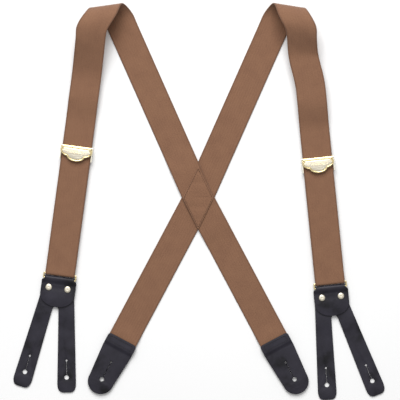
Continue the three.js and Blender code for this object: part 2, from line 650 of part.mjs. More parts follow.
// Legs start inside the body. The angle is positive towards +X.
function leg(x, degrees, bottom, top) {
  const start = -BODY_LENGTH + 14;
  const length = (FORK_LENGTH - LEATHER_FOLD + start) / Math.cos(degrees * RAD);
  const geometry = plate(legOutline(length), bottom, top).rotateZ(degrees * RAD).translate(x, start, 0);
  const eye = length - EYE_FROM_END;
  const place = [x + eye * Math.sin(degrees * RAD), start - eye * Math.cos(degrees * RAD)];
  return { solid: toSolid(geometry), holes: buttonhole(...place, degrees * RAD, SLIT_LENGTH) };
}

function frontLeather(end) {
  const back = BASE_TOP + LEATHER_THICK / 2;
  const floor = LEATHER_THICK / 2;
  const fold = FOLD_INNER + LEATHER_THICK / 2;
  const turn = steps(-90, 90, 12).map((angle) => (
    [fold * Math.cos(angle * RAD), LOOP_Z + fold * Math.sin(angle * RAD)]
  ));
  const laid = TONGUE_UNDER + LEATHER_THICK / 2;
  const side = [[-FORK_LENGTH - 8, floor], [-62, floor], [-46, back], ...turn, [-1, LOOP_Z + fold],
    [-7, laid], [-TONGUE_LENGTH - 4, laid]];
  const sheet = toSolid(across(bentSheet(side, LEATHER_THICK), 90));
  const between = BASE_TOP + LEATHER_THICK + GAP / 2;
  const outer = leg(end.side * LEG_ROOT_X, end.side * end.outerLeg, -3, between + 0.1);
  const inner = leg(-end.side * LEG_ROOT_X, -end.side * end.innerLeg, -3, between + 0.1);
  const body = toSolid(plate(bodyOutline(), -3, between + 0.1));
  const tongue = toSolid(plate(tongueOutline(), between - 0.1, 14, 14));
  const cutter = body.add(outer.solid).add(inner.solid).add(tongue);
  const rivetHoles = [-1, 1].map((sign) => (
    toSolid(disc(sign * RIVET_X, -RIVET_DROP, socketDiameter() + 2 * GAP, -3, 14))
  ));
  const holes = [...outer.holes, ...inner.holes, ...rivetHoles];
  const solid = holes.reduce((piece, hole) => piece.subtract(hole), sheet.intersect(cutter));
  return named(`front_leather_${end.name}`, toGeometry(solid), "leather");
}

const socketDiameter = () => POST_DIAMETER + GAP + 2 * SOCKET_WALL;

function rivet(end, sign) {
  const tag = sign * end.side > 0 ? "outer" : "inner";
  const seat = TONGUE_UNDER + LEATHER_THICK + GAP; // underside of the cap
  const cap = [];
  const dome = steps(0, 90, 6).map((angle) => (
    new THREE.Vector2((CAP_DIAMETER / 2) * Math.cos(angle * RAD), seat + 0.5 + (CAP_HEIGHT - 0.5) * Math.sin(angle * RAD))
  ));
  cap.push(new THREE.Vector2(0, BASE_THICK + GAP), new THREE.Vector2(POST_DIAMETER / 2, BASE_THICK + GAP));
  cap.push(new THREE.Vector2(POST_DIAMETER / 2, seat), new THREE.Vector2(CAP_DIAMETER / 2, seat), ...dome);
  cap[cap.length - 1].x = 0;
  const socket = socketDiameter() / 2;
  const base = [
    [0, 0], [BASE_DIAMETER / 2, 0], [BASE_DIAMETER / 2, BASE_THICK], [socket, BASE_THICK],
    [socket, seat - GAP], [socket - SOCKET_WALL, seat - GAP], [socket - SOCKET_WALL, BASE_THICK], [0, BASE_THICK],
  ].map(([r, z]) => new THREE.Vector2(r, z));
  const lathe = (profile) => new THREE.LatheGeometry(profile, 20).rotateX(Math.PI / 2)
    .translate(sign * RIVET_X, -RIVET_DROP, 0);
  return [
    named(`rivet_${end.name}_${tag}_cap`, lathe(cap), "brass"),
    named(`rivet_${end.name}_${tag}_base`, lathe(base), "brass"),
  ];
}

function lowerEnd(end) {
  const group = new THREE.Group();
  group.add(lowerRun(end), wireLoop(end));
  const leather = new THREE.Group();
  leather.add(frontLeather(end), ...rivet(end, -1), ...rivet(end, 1));
  leather.position.y = -LOOP_PITCH;
  group.add(leather);
  group.position.set(frontX(end, end.loopY), end.loopY, 0);
  group.rotation.z = end.side * end.lean * RAD;
  return group;
}

// ---- The whole ----------------------------------------------------------------------------------

const suspenders = new THREE.Group();
for (const end of SIDES) suspenders.add(strap(end), rearTab(end), adjuster(end), lowerEnd(end));
suspenders.add(...crossing());

export default suspenders;
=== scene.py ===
"""Dress suspenders laid flat: webbing, leather, brass and stitches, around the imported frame."""
import math

import bmesh
import bpy
import numpy as np
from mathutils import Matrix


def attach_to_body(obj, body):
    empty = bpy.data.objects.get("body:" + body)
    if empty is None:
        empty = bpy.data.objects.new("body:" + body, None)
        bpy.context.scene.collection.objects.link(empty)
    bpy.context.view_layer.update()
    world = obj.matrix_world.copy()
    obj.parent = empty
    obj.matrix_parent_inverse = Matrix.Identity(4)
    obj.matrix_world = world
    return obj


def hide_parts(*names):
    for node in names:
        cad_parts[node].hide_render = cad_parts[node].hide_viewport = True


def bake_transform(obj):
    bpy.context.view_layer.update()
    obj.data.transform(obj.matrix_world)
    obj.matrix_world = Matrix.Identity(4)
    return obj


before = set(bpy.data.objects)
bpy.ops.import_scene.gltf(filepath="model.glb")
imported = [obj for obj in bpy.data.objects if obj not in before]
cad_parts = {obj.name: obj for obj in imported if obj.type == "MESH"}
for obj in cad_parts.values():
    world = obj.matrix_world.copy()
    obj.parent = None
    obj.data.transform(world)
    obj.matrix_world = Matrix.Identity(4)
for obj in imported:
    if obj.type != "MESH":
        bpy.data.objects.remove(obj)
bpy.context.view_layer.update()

bl_info = {
    "name": "Dress suspenders",
    "version": (1, 0, 0),
    "blender": (4, 5, 0),
    "location": "View3D > Sidebar > Suspenders",
    "description": "Builds webbing, leather and brass of a pair of dress suspenders around its frame",
    "category": "Add Mesh",
}

MM = 0.001
GAP = 0.3 * MM
UP = np.array([0.0, 0.0, 1.0])

# The front run of each side. Lengths are in metres, angles in degrees.
SIDES = (
    dict(name="left", side=-1, over=True, x=0.1555, y=0.067, lean=7.7, loop=-0.0981, low_rise=0.004,
         low=(0.100, 0.130), high=0.150, sway=0.0, outer=9.2, inner=7.8),
    dict(name="right", side=1, over=False, x=0.1532, y=0.0525, lean=5.8, loop=-0.1091, low_rise=0.008,
         low=(0.086, 0.126), high=0.178, sway=0.0055, outer=16.5, inner=2.7),
)


def linear(code):
    """An sRGB hex colour as linear RGBA: the sRGB curve undone channel by channel."""
    value = code.lstrip("#")
    srgb = np.array([int(value[i:i + 2], 16) / 255 for i in (0, 2, 4)])
    lin = np.where(srgb <= 0.04045, srgb / 12.92, ((srgb + 0.055) / 1.055) ** 2.4)
    return (*[float(c) for c in lin], 1.0)


def colour(name, code, text):
    """A colour property whose default is a hex value."""
    return bpy.props.FloatVectorProperty(
        name=name, description=text, subtype="COLOR", size=4, min=0, max=1, default=linear(code))


def length(name, value, text):
    """A length property in metres."""
    return bpy.props.FloatProperty(name=name, description=text, default=value, unit="LENGTH", precision=5)


def number(name, value, text):
    """A plain number property."""
    return bpy.props.FloatProperty(name=name, description=text, default=value)


class SuspendersWebbing(bpy.types.PropertyGroup):
    width: length("Width", 0.0381, "Width of the elastic webbing")
    thick: length("Thickness", 0.0016, "Thickness of the elastic webbing")
    rib: length("Rib pitch", 0.0016, "Spacing of the lengthwise ribs")
    selvedge: length("Selvedge", 0.0021, "Width of the firm woven edge")
    upper_arm: number("Upper arm", 23.9, "Angle from the Y axis, degrees")
    lower_arm: number("Lower arm", 28.0, "Angle from the Y axis, degrees")
    lower_arm_length: length("Lower arm length", 0.206, "Crossing to the rear tab's top edge")
    shoulder_y: length("Shoulder", 0.2465, "Foremost point of the shoulder bend")
    shoulder_height: length("Bend height", 0.031, "Height of the shoulder bend's middle line")


class SuspendersLeather(bpy.types.PropertyGroup):
    thick: length("Thickness", 0.0018, "Thickness of one leather layer")
    edge: length("Edge rounding", 0.0005, "Radius of the skived and burnished edge")
    tab_length: length("Rear tab length", 0.078, "Top edge to round end")
    tab_half: length("Rear tab half width", 0.020, "Half of the width at the webbing")
    flap_half: length("Front flap half width", 0.0223, "Half of the width over the rivets")
    fork_length: length("Fork length", 0.147, "Fold to the ends of the legs")
    eye: length("Buttonhole eye", 0.006, "Diameter of the buttonhole's round eye")
    stop: length("Stop hole", 0.0028, "Diameter of the small hole that ends the slit")
    slit: length("Slit width", 0.0004, "Width of the slit between the two holes")


class SuspendersBrass(bpy.types.PropertyGroup):
    wire: length("Loop wire", 0.0022, "Diameter of the loop's wire")
    pitch: length("Loop pitch", 0.0063, "Distance between the loop's two bars")
    cap: length("Rivet cap", 0.0085, "Diameter of a rivet's cap")
    cap_height: length("Cap height", 0.0017, "Height of a rivet's cap")
    cover_width: length("Cover width", 0.0412, "Width of the adjuster's cover")
    cover_depth: length("Cover depth", 0.0203, "Depth of the cover from hinge edge to lower lobe")


class SuspendersColours(bpy.types.PropertyGroup):
    webbing: colour("Webbing", "#785541", "Face of the elastic webbing")
    webbing_light: colour("Webbing light", "#8b664d", "Raised rib yarns")
    webbing_dark: colour("Webbing dark", "#593c2c", "Yarn between the ribs and the selvedge")
    leather: colour("Leather", "#25232c", "Dyed grain side of the leather")
    leather_edge: colour("Leather edge", "#100f14", "Burnished cut edge")
    brass: colour("Pale gold", "#f6e3ae", "Pale gold plate of rims, rivets and loops")
    satin: colour("Satin plate", "#f2ead6", "Satin plate of the covers' fields")
    steel: colour("Steel", "#c9c9c6", "Pin of the hinge")
    thread: colour("Brown thread", "#5c3f2e", "Sewing thread on the webbing")
    black_thread: colour("Black thread", "#121116", "Sewing thread on the leather")


class SuspendersStage(bpy.types.PropertyGroup):
    view_width: length("View width", 0.516, "Width of the floor that the camera takes in")
    camera_height: length("Camera height", 2.2, "Camera above the floor")
    centre_x: length("Centre X", 0.0023, "Point of the floor under the camera")
    centre_y: length("Centre Y", -0.0026, "Point of the floor under the camera")
    overhead: number("Overhead light", 15, "Power, watts")
    world: number("Surroundings", 0.34, "Strength of the white surroundings")
    key: number("Key light", 92, "Power, watts")


def settings(name):
    """One of the scene's groups of sizes and colours."""
    return getattr(bpy.context.scene, f"suspenders_{name}")


# ---- Numbers and arrays --------------------------------------------------------------------------


def smooth(value, start, end):
    """0 before start, 1 after end, and 3t^2 - 2t^3 between them."""
    t = np.clip((np.asarray(value, float) - start) / (end - start), 0, 1)
    return t * t * (3 - 2 * t)


def unit(v):
    """Each row of an array divided by its length."""
    return v / np.maximum(np.linalg.norm(v, axis=-1, keepdims=True), 1e-12)


def run_of(points):
    """The length along a line of points from its first to each of them."""
    return np.r_[0, np.cumsum(np.linalg.norm(np.diff(points, axis=0), axis=1))]


def resample(points, spacing):
    """A line of points laid out again at an even spacing along its length."""
    run = run_of(points)
    count = max(int(round(run[-1] / spacing)), 2)
    at = np.linspace(0, run[-1], count + 1)
    return np.stack([np.interp(at, run, points[:, k]) for k in range(3)], axis=1)


def filled(points, spacing):
    """A closed line of points with more added along its straights."""
    ring = np.r_[points, points[:1]]
    return resample(np.c_[ring, np.zeros(len(ring))], spacing)[:-1]


def relax(points, rounds):
    """Each inner point drawn towards the mean of its neighbours, over and over, with the ends held."""
    points = points.copy()
    for _ in range(rounds):
        points[1:-1] = 0.5 * points[1:-1] + 0.25 * (points[:-2] + points[2:])
    return points


def tangents(points):
    """The direction of a line of points at each of them."""
    return unit(np.gradient(points, axis=0))


def local(end, base_y):
    """The place and the two directions of a frame on the front run: across the strap and up it."""
    a = end["side"] * math.radians(end["lean"])
    origin = np.array([front_x(end, base_y), base_y, 0.0])
    return origin, np.array([math.cos(a), math.sin(a), 0.0]), np.array([-math.sin(a), math.cos(a), 0.0])


def place(points, origin, across, up):
    """Points of a local frame, X across and Y up the strap, put in the row frame."""
    p = np.asarray(points, float)
    flat = p[..., :1] * across + p[..., 1:2] * up
    return origin + flat + p[..., 2:3] * UP


# ---- Meshes --------------------------------------------------------------------------------------


def places_of(mesh):
    """The place of every vertex, one a row."""
    co = np.empty(len(mesh.vertices) * 3)
    mesh.vertices.foreach_get("co", co)
    return co.reshape(-1, 3)


def give_uv(mesh, uv):
    """Gives a UV for each vertex to every corner that meets there. A mesh made from a curve has a UVMap."""
    corner = np.empty(len(mesh.loops), np.int32)
    mesh.loops.foreach_get("vertex_index", corner)
    layer = mesh.uv_layers.get("UVMap") or mesh.uv_layers.new(name="UVMap")
    layer.data.foreach_set("uv", uv[corner].astype(np.float32).ravel())


def make_object(name, vertices, faces, material, uv=None):
    """A mesh object at the origin from whole arrays, with smooth faces and perhaps a UV for each vertex."""
    mesh = bpy.data.meshes.new(name)
    mesh.from_pydata(vertices.tolist(), [], faces.tolist() if hasattr(faces, "tolist") else faces)
    mesh.update()
    mesh.polygons.foreach_set("use_smooth", np.ones(len(mesh.polygons), bool))
    if uv is not None:
        give_uv(mesh, uv)
    obj = bpy.data.objects.new(name, mesh)
    bpy.context.scene.collection.objects.link(obj)
    obj.data.materials.append(material)
    return obj


def tube_faces(rows, columns, closed=False):
    """Quads between rows of a ring of columns, and between the last row and the first if closed."""
    i = np.arange(rows if closed else rows - 1)[:, None]
    j = np.arange(columns)[None, :]
    k, n = (i + 1) % rows, (j + 1) % columns
    quads = np.stack([i * columns + j, i * columns + n, k * columns + n, k * columns + j], axis=-1)
    return quads.reshape(-1, 4)


def ring_surface(name, rings, material, closed=False, uv=None):
    """A closed solid of a stack of rings, each a row of points. Open ends are capped with one face."""
    rows, columns = rings.shape[:2]
    quads = tube_faces(rows, columns, closed).tolist()
    if not closed:
        quads.append(list(range(columns))[::-1])
        quads.append(list(range((rows - 1) * columns, rows * columns)))
    obj = make_object(name, rings.reshape(-1, 3), quads, material, uv)
    face_outwards(obj)
    return obj


def face_outwards(obj):
    """Turns a closed mesh round if its signed volume, the sum of its corner tetrahedra, is negative."""
    mesh = obj.data
    mesh.calc_loop_triangles()
    tri = np.empty(len(mesh.loop_triangles) * 3, np.int32)
    mesh.loop_triangles.foreach_get("vertices", tri)
    a, b, c = places_of(mesh)[tri.reshape(-1, 3)].transpose(1, 0, 2)
    if np.einsum("ij,ij->", a, np.cross(b, c)) < 0:
        mesh.flip_normals()


def swept(name, path, across, profile, material, closed=False):
    """A profile carried along a path: point + u * across + v * normal, where normal = across x tangent.
    The UV is the place across and along the webbing, in metres."""
    t = tangents(path) if not closed else unit(np.roll(path, -1, 0) - np.roll(path, 1, 0))
    normal = unit(np.cross(across, t))
    rings = path[:, None] + profile[None, :, :1] * across[:, None] + profile[None, :, 1:] * normal[:, None]
    run = run_of(path)
    uv = np.stack(np.broadcast_arrays(profile[None, :, 0], run[:, None]), axis=-1).reshape(-1, 2)
    return ring_surface(name, rings, material, closed, uv)


def web_profile():
    """The webbing's cross-section: a flat loop whose faces carry shallow ribs, cos(pi u / rib), and whose
    edges are half rounds, a little thicker than the middle."""
    w = settings("webbing")
    half, thick = w.width / 2, w.thick / 2
    u = np.linspace(-half + thick, half - thick, 95)
    inner = smooth(half - np.abs(u), w.selvedge * 0.6, w.selvedge * 1.4)
    sink, rib, lift = 0.00012, 0.00008, 0.00009
    rise = thick - sink - rib * (1 - np.cos(np.pi * u / w.rib)) * inner + lift * (1 - inner)
    angle = np.linspace(-90, 90, 7)[1:-1] * math.pi / 180
    bend = np.stack([half - thick + thick * np.cos(angle), thick * np.sin(angle)], axis=1)
    top = np.stack([u[::-1], rise[::-1]], axis=1)
    bottom = np.stack([u, -rise], axis=1)
    return np.concatenate([bottom, bend, top, bend * [-1, -1]])


def round_profile(radius_u, radius_v, sides=14):
    """An ellipse of the two radii."""
    angle = np.arange(sides) * 2 * math.pi / sides
    return np.stack([radius_u * np.cos(angle), radius_v * np.sin(angle)], axis=1)


def lathe(name, profile, centre, material, sides=40):
    """A profile of (radius, height) points turned about a vertical axis. Its ends lie on the axis, and each
    closes in one point."""
    angle = np.arange(sides) * 2 * math.pi / sides
    ring = np.stack([np.cos(angle), np.sin(angle), np.zeros(sides)], axis=1)
    body = profile[1:-1]
    points = ring[None] * body[:, None, :1] + body[:, None, 1:] * UP
    tips = np.array([[0, 0, profile[0, 1]], [0, 0, profile[-1, 1]]])
    vertices = np.concatenate([points.reshape(-1, 3), tips]) + centre
    rows = len(body)
    faces = tube_faces(rows, sides).tolist()
    j = np.arange(sides)
    first, last = rows * sides, rows * sides + 1
    faces += np.stack([j, np.full(sides, first), (j + 1) % sides], axis=1).tolist()
    top = (rows - 1) * sides
    faces += np.stack([top + (j + 1) % sides, np.full(sides, last), top + j], axis=1).tolist()
    obj = make_object(name, vertices, faces, material)
    face_outwards(obj)
    return obj


def cut_sheet(name, outlines, thick, edge, material, cuts=(), rim=None):
    """A flat sheet cut to an outer outline with holes, with rounded edges, centred on Z = 0. It is filled in
    two dimensions, raised to its thickness and sliced along the lines Y = cut, so that it can bend there."""
    curve = bpy.data.curves.new(name, "CURVE")
    curve.dimensions = "2D"
    curve.fill_mode = "BOTH"
    curve.extrude = thick / 2 - edge
    curve.bevel_depth = edge
    curve.bevel_resolution = 2
    curve.offset = -edge
    for outline in outlines:
        spline = curve.splines.new("POLY")
        spline.points.add(len(outline) - 1)
        flat = np.c_[outline, np.zeros(len(outline)), np.ones(len(outline))]
        spline.points.foreach_set("co", flat.ravel())
        spline.use_cyclic_u = True
    holder = bpy.data.objects.new(name, curve)
    bpy.context.scene.collection.objects.link(holder)
    bpy.context.view_layer.update()
    mesh = bpy.data.meshes.new_from_object(holder.evaluated_get(bpy.context.evaluated_depsgraph_get()))
    bpy.data.objects.remove(holder)
    mesh.materials.clear()
    mesh.materials.append(material)
    mesh.materials.append(rim or material)
    slice_mesh(mesh, cuts)
    obj = bpy.data.objects.new(name, mesh)
    bpy.context.scene.collection.objects.link(obj)
    return obj


def slice_mesh(mesh, cuts):
    """Merges doubles and cuts every face along each line Y = cut. The sheet's edges take the second
    material."""
    bm = bmesh.new()
    bm.from_mesh(mesh)
    bmesh.ops.remove_doubles(bm, verts=bm.verts, dist=1e-6)
    for y in cuts:
        geometry = bm.verts[:] + bm.edges[:] + bm.faces[:]
        bmesh.ops.bisect_plane(bm, geom=geometry, dist=1e-7, plane_co=(0, y, 0), plane_no=(0, 1, 0))
    bmesh.ops.triangulate(bm, faces=bm.faces[:])
    bmesh.ops.recalc_face_normals(bm, faces=bm.faces[:])
    for face in bm.faces:
        face.material_index = int(abs(face.normal.z) < 0.9)
    bm.to_mesh(mesh)
    bm.free()


def reshape(obj, rule):
    """Moves every vertex by a rule on the whole array of places, then turns the faces out."""
    mesh = obj.data
    mesh.vertices.foreach_set("co", rule(places_of(mesh)).ravel())
    mesh.update()
    face_outwards(obj)
    mesh.polygons.foreach_set("use_smooth", np.ones(len(mesh.polygons), bool))
    mesh.set_sharp_from_angle(angle=math.radians(40))
    return obj


def arc(cx, cy, radius, start, stop, count=8):
    """Points of an arc, in degrees."""
    a = np.radians(np.linspace(start, stop, count))
    return np.stack([cx + radius * np.cos(a), cy + radius * np.sin(a)], axis=1)


def bezier(a, b, c, d, count=12):
    """Points of a cubic curve after its first."""
    t = np.linspace(0, 1, count + 1)[1:, None]
    a, b, c, d = (np.array(p, float) for p in (a, b, c, d))
    return a * (1 - t) ** 3 + 3 * b * t * (1 - t) ** 2 + 3 * c * t ** 2 * (1 - t) + d * t ** 3


# ---- Materials -----------------------------------------------------------------------------------


def node(tree, kind, values=None, links=None, **attributes):
    """Adds a node of a kind, sets its attributes and inputs, and links (node, output) pairs to its inputs."""
    made = tree.nodes.new(kind)
    for key, value in attributes.items():
        setattr(made, key, value)
    for key, value in (values or {}).items():
        made.inputs[key].default_value = value
    for key, (source, output) in (links or {}).items():
        tree.links.new(source.outputs[output], made.inputs[key])
    return made


def ramp(tree, source, output, stops):
    """A colour ramp of (position, RGBA) stops on a node's output."""
    made = node(tree, "ShaderNodeValToRGB", links={"Fac": (source, output)})
    band = made.color_ramp
    while len(band.elements) < len(stops):
        band.elements.new(0.5)
    for element, (at, value) in zip(band.elements, stops):
        element.position = at
        element.color = value
    return made


def maths(tree, operation, *terms):
    """A maths node whose terms are numbers or (node, output) pairs."""
    plain = {k: term for k, term in enumerate(terms) if not isinstance(term, tuple)}
    linked = {k: term for k, term in enumerate(terms) if isinstance(term, tuple)}
    return node(tree, "ShaderNodeMath", plain, linked, operation=operation)


def noise(tree, at, scale, detail, **values):
    """A noise texture on the coordinates of a (node, output) pair."""
    return node(tree, "ShaderNodeTexNoise", {"Scale": scale, "Detail": detail, **values}, {"Vector": at})


def shade(tree, texture, base, share, start, end):
    """A ramp on a texture from a share of a colour at start to the whole colour at end."""
    dark = tuple(share * v for v in base[:3]) + (1.0,)
    return ramp(tree, texture, "Fac", [(start, dark), (end, tuple(base))])


def roughen(tree, shader, texture, low, high):
    """Takes the shader's roughness from a texture."""
    rough = node(tree, "ShaderNodeMapRange", {"To Min": low, "To Max": high}, {"Value": (texture, "Fac")})
    tree.links.new(rough.outputs[0], shader.inputs["Roughness"])


def dress(tree, shader, tone, height=None, strength=0.0, depth=0.0):
    """Takes the shader's colour from an output and its bump, if there is one, from a (node, output) pair."""
    tree.links.new(tone, shader.inputs["Base Color"])
    if height:
        bump = node(tree, "ShaderNodeBump", {"Strength": strength, "Distance": depth}, {"Height": height})
        tree.links.new(bump.outputs[0], shader.inputs["Normal"])


def start_material(name, **values):
    """An empty material with one shader, whose plain values stand on its own sockets."""
    material = bpy.data.materials.new(name)
    material.use_nodes = True
    tree = material.node_tree
    shader = tree.nodes["Principled BSDF"]
    for key, value in values.items():
        shader.inputs[key.replace("_", " ")].default_value = value
    return material, tree, shader


def elastic_webbing():
    """Woven polyester and rubber elastic: matt, with fine lengthwise ribs, a tight cross weave that shows as
    small dashes, and a firm darker selvedge. The weave's real pitch, 0.5 mm, is drawn at 1.3 mm so that it
    shows."""
    c, w = settings("colours"), settings("webbing")
    material, tree, shader = start_material("elastic_webbing_woven", Roughness=0.82, Sheen_Weight=0.18,
                                            Sheen_Roughness=0.5, Specular_IOR_Level=0.25)
    at = (node(tree, "ShaderNodeUVMap", uv_map="UVMap"), "UV")
    split = node(tree, "ShaderNodeSeparateXYZ", links={"Vector": at})
    across = maths(tree, "MULTIPLY", (split, "X"), 2 * math.pi / w.rib)
    rib = maths(tree, "COSINE", (across, 0))
    along = maths(tree, "MULTIPLY", (split, "Y"), 2 * math.pi / 0.0013)
    offset = maths(tree, "MULTIPLY", (split, "X"), math.pi / w.rib)
    stagger = maths(tree, "ADD", (along, 0), (offset, 0))
    dash = maths(tree, "SINE", (stagger, 0))
    weave = maths(tree, "MULTIPLY_ADD", (rib, 0), (dash, 0), 0.5)
    blotch = noise(tree, at, 60.0, 4.0)
    fibre = noise(tree, at, 900.0, 3.0)
    mixed = maths(tree, "MULTIPLY_ADD", (weave, 0), 0.26, (fibre, "Fac"))
    level = maths(tree, "MULTIPLY_ADD", (blotch, "Fac"), 0.35, (mixed, 0))
    dark, mid, light = (tuple(v) for v in (c.webbing_dark, c.webbing, c.webbing_light))
    yarn = ramp(tree, level, 0, [(0.30, dark), (0.62, mid), (0.98, light)])
    side = maths(tree, "ABSOLUTE", (split, "X"))
    edge = node(tree, "ShaderNodeMapRange", {"From Min": w.width / 2 - w.selvedge * 1.1,
                                             "From Max": w.width / 2 - w.selvedge * 0.6,
                                             "To Min": 0.0, "To Max": 0.4}, {"Value": (side, 0)})
    face = node(tree, "ShaderNodeMix", {"B": dark}, {"Factor": (edge, 0), "A": (yarn, 0)}, data_type="RGBA")
    dress(tree, shader, face.outputs[2], (mixed, 0), 0.5, 0.0003)
    return material


def grained_leather():
    """Drum-dyed black cowhide with a corrected grain: a satin face with fine pebbles, about 1 mm across,
    faint creases, and slightly uneven dye."""
    c = settings("colours")
    material, tree, shader = start_material("cowhide_black_grained", Roughness=0.46, Specular_IOR_Level=0.28)
    at = (node(tree, "ShaderNodeTexCoord"), "Object")
    pebble = node(tree, "ShaderNodeTexVoronoi", {"Scale": 1000.0}, {"Vector": at}, feature="SMOOTH_F1")
    crease = noise(tree, at, 190.0, 6.0, Roughness=0.6)
    dye = noise(tree, at, 45.0, 3.0)
    stops = [(0.3, tuple(c.leather_edge)), (0.45, tuple(c.leather)), (0.75, linear("#302e38"))]
    height = maths(tree, "MULTIPLY_ADD", (crease, "Fac"), 0.5, (pebble, "Distance"))
    dress(tree, shader, ramp(tree, dye, "Fac", stops).outputs[0], (height, 0), 0.45, 0.00025)
    roughen(tree, shader, crease, 0.38, 0.56)
    return material


def burnished_edge():
    """The leather's cut edge, inked black and rubbed smooth: darker and a little shinier than the grain."""
    material, tree, shader = start_material("cowhide_edge_inked_burnished", Roughness=0.38,
                                            Specular_IOR_Level=0.3)
    fibre = noise(tree, (node(tree, "ShaderNodeTexCoord"), "Object"), 600.0, 3.0)
    tone = shade(tree, fibre, settings("colours").leather_edge, 0.6, 0.3, 0.7)
    dress(tree, shader, tone.outputs[0], (fibre, "Fac"), 0.2, 0.0001)
    return material


def pale_gold(name, base, low, high, brushed):
    """Stamped brass with a pale gold plate: bright and warm, with fine polishing marks in one direction. Its
    roughness runs from low to high along them."""
    material, tree, shader = start_material(name, Metallic=1.0, Roughness=low)
    at = (node(tree, "ShaderNodeTexCoord"), "Object")
    stretch = node(tree, "ShaderNodeMapping", {"Scale": (1.0, brushed, 1.0)}, {"Vector": at})
    marks = noise(tree, (stretch, 0), 420.0, 5.0)
    tone = shade(tree, marks, base, 0.9, 0.25, 0.7)
    dress(tree, shader, tone.outputs[0], (marks, "Fac"), 0.08, 0.0001)
    roughen(tree, shader, marks, low, high)
    return material


def drawn_steel():
    """Drawn nickel-plated steel wire: bright, with faint lines round it."""
    material, tree, shader = start_material("steel_wire_drawn", Metallic=1.0, Roughness=0.3)
    lines = noise(tree, (node(tree, "ShaderNodeTexCoord"), "Object"), 700.0, 3.0)
    dress(tree, shader, shade(tree, lines, settings("colours").steel, 0.8, 0.3, 0.7).outputs[0])
    return material


def sewing_thread(name, base):
    """Bonded polyester thread, three plies twisted: matt, with a slanting twist drawn coarser than it is."""
    material, tree, shader = start_material(name, Roughness=0.7)
    at = (node(tree, "ShaderNodeTexCoord"), "Object")
    twist = node(tree, "ShaderNodeTexWave", {"Scale": 200.0, "Distortion": 1.0}, {"Vector": at},
                 bands_direction="DIAGONAL")
    dress(tree, shader, shade(tree, twist, base, 0.6, 0.2, 0.8).outputs[0], (twist, "Fac"), 0.4, 0.0001)
    return material


MAKERS = {
    "webbing": elastic_webbing,
    "leather": grained_leather,
    "leather_edge": burnished_edge,
    "field": lambda: pale_gold("brass_pale_gold_satin", settings("colours").satin, 0.34, 0.5, 6.0),
    "rim": lambda: pale_gold("brass_pale_gold_polished", settings("colours").brass, 0.16, 0.3, 1.0),
    "steel": drawn_steel,
    "thread": lambda: sewing_thread("thread_bonded_brown", settings("colours").thread),
    "black_thread": lambda: sewing_thread("thread_bonded_black", settings("colours").black_thread),
}
MADE = {}


def finish_of(kind):
    """The material of a kind, made once."""
    if kind not in MADE:
        MADE[kind] = MAKERS[kind]()
    return MADE[kind]


# ---- Where the straps run ------------------------------------------------------------------------


def front_x(end, y):
    """X of the front run's middle line: a straight lean, with a step inwards below the shoulder."""
    straight = end["x"] - (y - end["y"]) * math.tan(math.radians(end["lean"]))
    return end["side"] * (straight - end["sway"] * smooth(y, 0.140, 0.190))


def heights():
    """The heights that the layers share: of the loop's bars, the adjuster's bar and the front run."""
    w, b, l = settings("webbing"), settings("brass"), settings("leather")
    inner = b.wire / 2 + 0.15 * MM
    h = {"inner": inner, "layer": inner + w.thick / 2, "loop": LEATHER_LIFT + inner + l.thick}
    h["bar_fold"] = 0.6 * MM + 0.15 * MM + w.thick / 2
    h["bar"] = w.thick / 2 + h["bar_fold"]
    h["front"] = h["bar"] + h["bar_fold"] + w.thick / 2 + GAP + w.thick / 2
    return h


BAR_DROP = 0.017
SPLIT_DROP = 0.0070  # below the hinge, where the cover hides the webbing from edge to edge
WRAP_LENGTH = 0.039
FLAP_LENGTH = 0.034
FLAP_SLOPE = 0.008
WEB_SETTLE = 0.020
LAP = 0.012
CURL_LOW, CURL_HIGH = 0.019, 0.025
SHIFT = (0.030, 0.044)
LEATHER_LIFT = 1.1 * MM  # the rivets' bases hold the leather off the floor
LEG_START = 0.026
LEG_ROOT_X = 0.0124
EYE_FROM_END = 0.0195
TONGUE_LENGTH = 0.0365
RIVET_X = 0.0122
RIVET_DROP = 0.012
FRONT_SLIT, REAR_SLIT = 0.022, 0.025
LEG_FALL = (-0.064, -0.044)  # where the legs come down from the rivets' bases to the floor
TONGUE_FALL = (0.0005, 0.0075)  # where the tongue comes down from the loop to the layer under it
TAB_STEP = (0.0105, 0.0165)  # where the tab's front layer steps down off the webbing
TAB_SEAM_DEPTH = 0.00025
RIM_INSET, FIELD_INSET = 0.0009, 0.0023
BARREL_RADIUS = 0.0016  # of the cover's hinge barrel, whose top is level with the cover's skin
NECK_HALF = 0.01915  # of the leather where it passes through the wire loop


def back_points(end):
    """The back run from inside the rear tab, over the crossing, to the foot of the shoulder bend. Its height
    is half the webbing, plus a layer where it lies over the other strap, plus the leather's in the tab."""
    w, l = settings("webbing"), settings("leather")
    top = (w.shoulder_y - CURL_LOW) / math.cos(math.radians(w.upper_arm)) - 0.008
    d = np.linspace(-w.lower_arm_length - LAP, top, 260)
    angle = np.radians(np.where(d > 0, w.upper_arm, w.lower_arm))
    cross = math.radians(w.upper_arm + w.lower_arm)
    reach = w.width / 2 / math.sin(cross) + w.width / 2 / math.tan(cross)
    over = (w.thick + GAP) * (1 - smooth(np.abs(d), reach + 0.002, reach + 0.032)) if end["over"] else 0
    tab = (l.thick + GAP) * smooth(-d, w.lower_arm_length - 0.022, w.lower_arm_length - 0.002)
    return np.stack([end["side"] * d * np.sin(angle), d * np.cos(angle), w.thick / 2 + over + tab], axis=1)


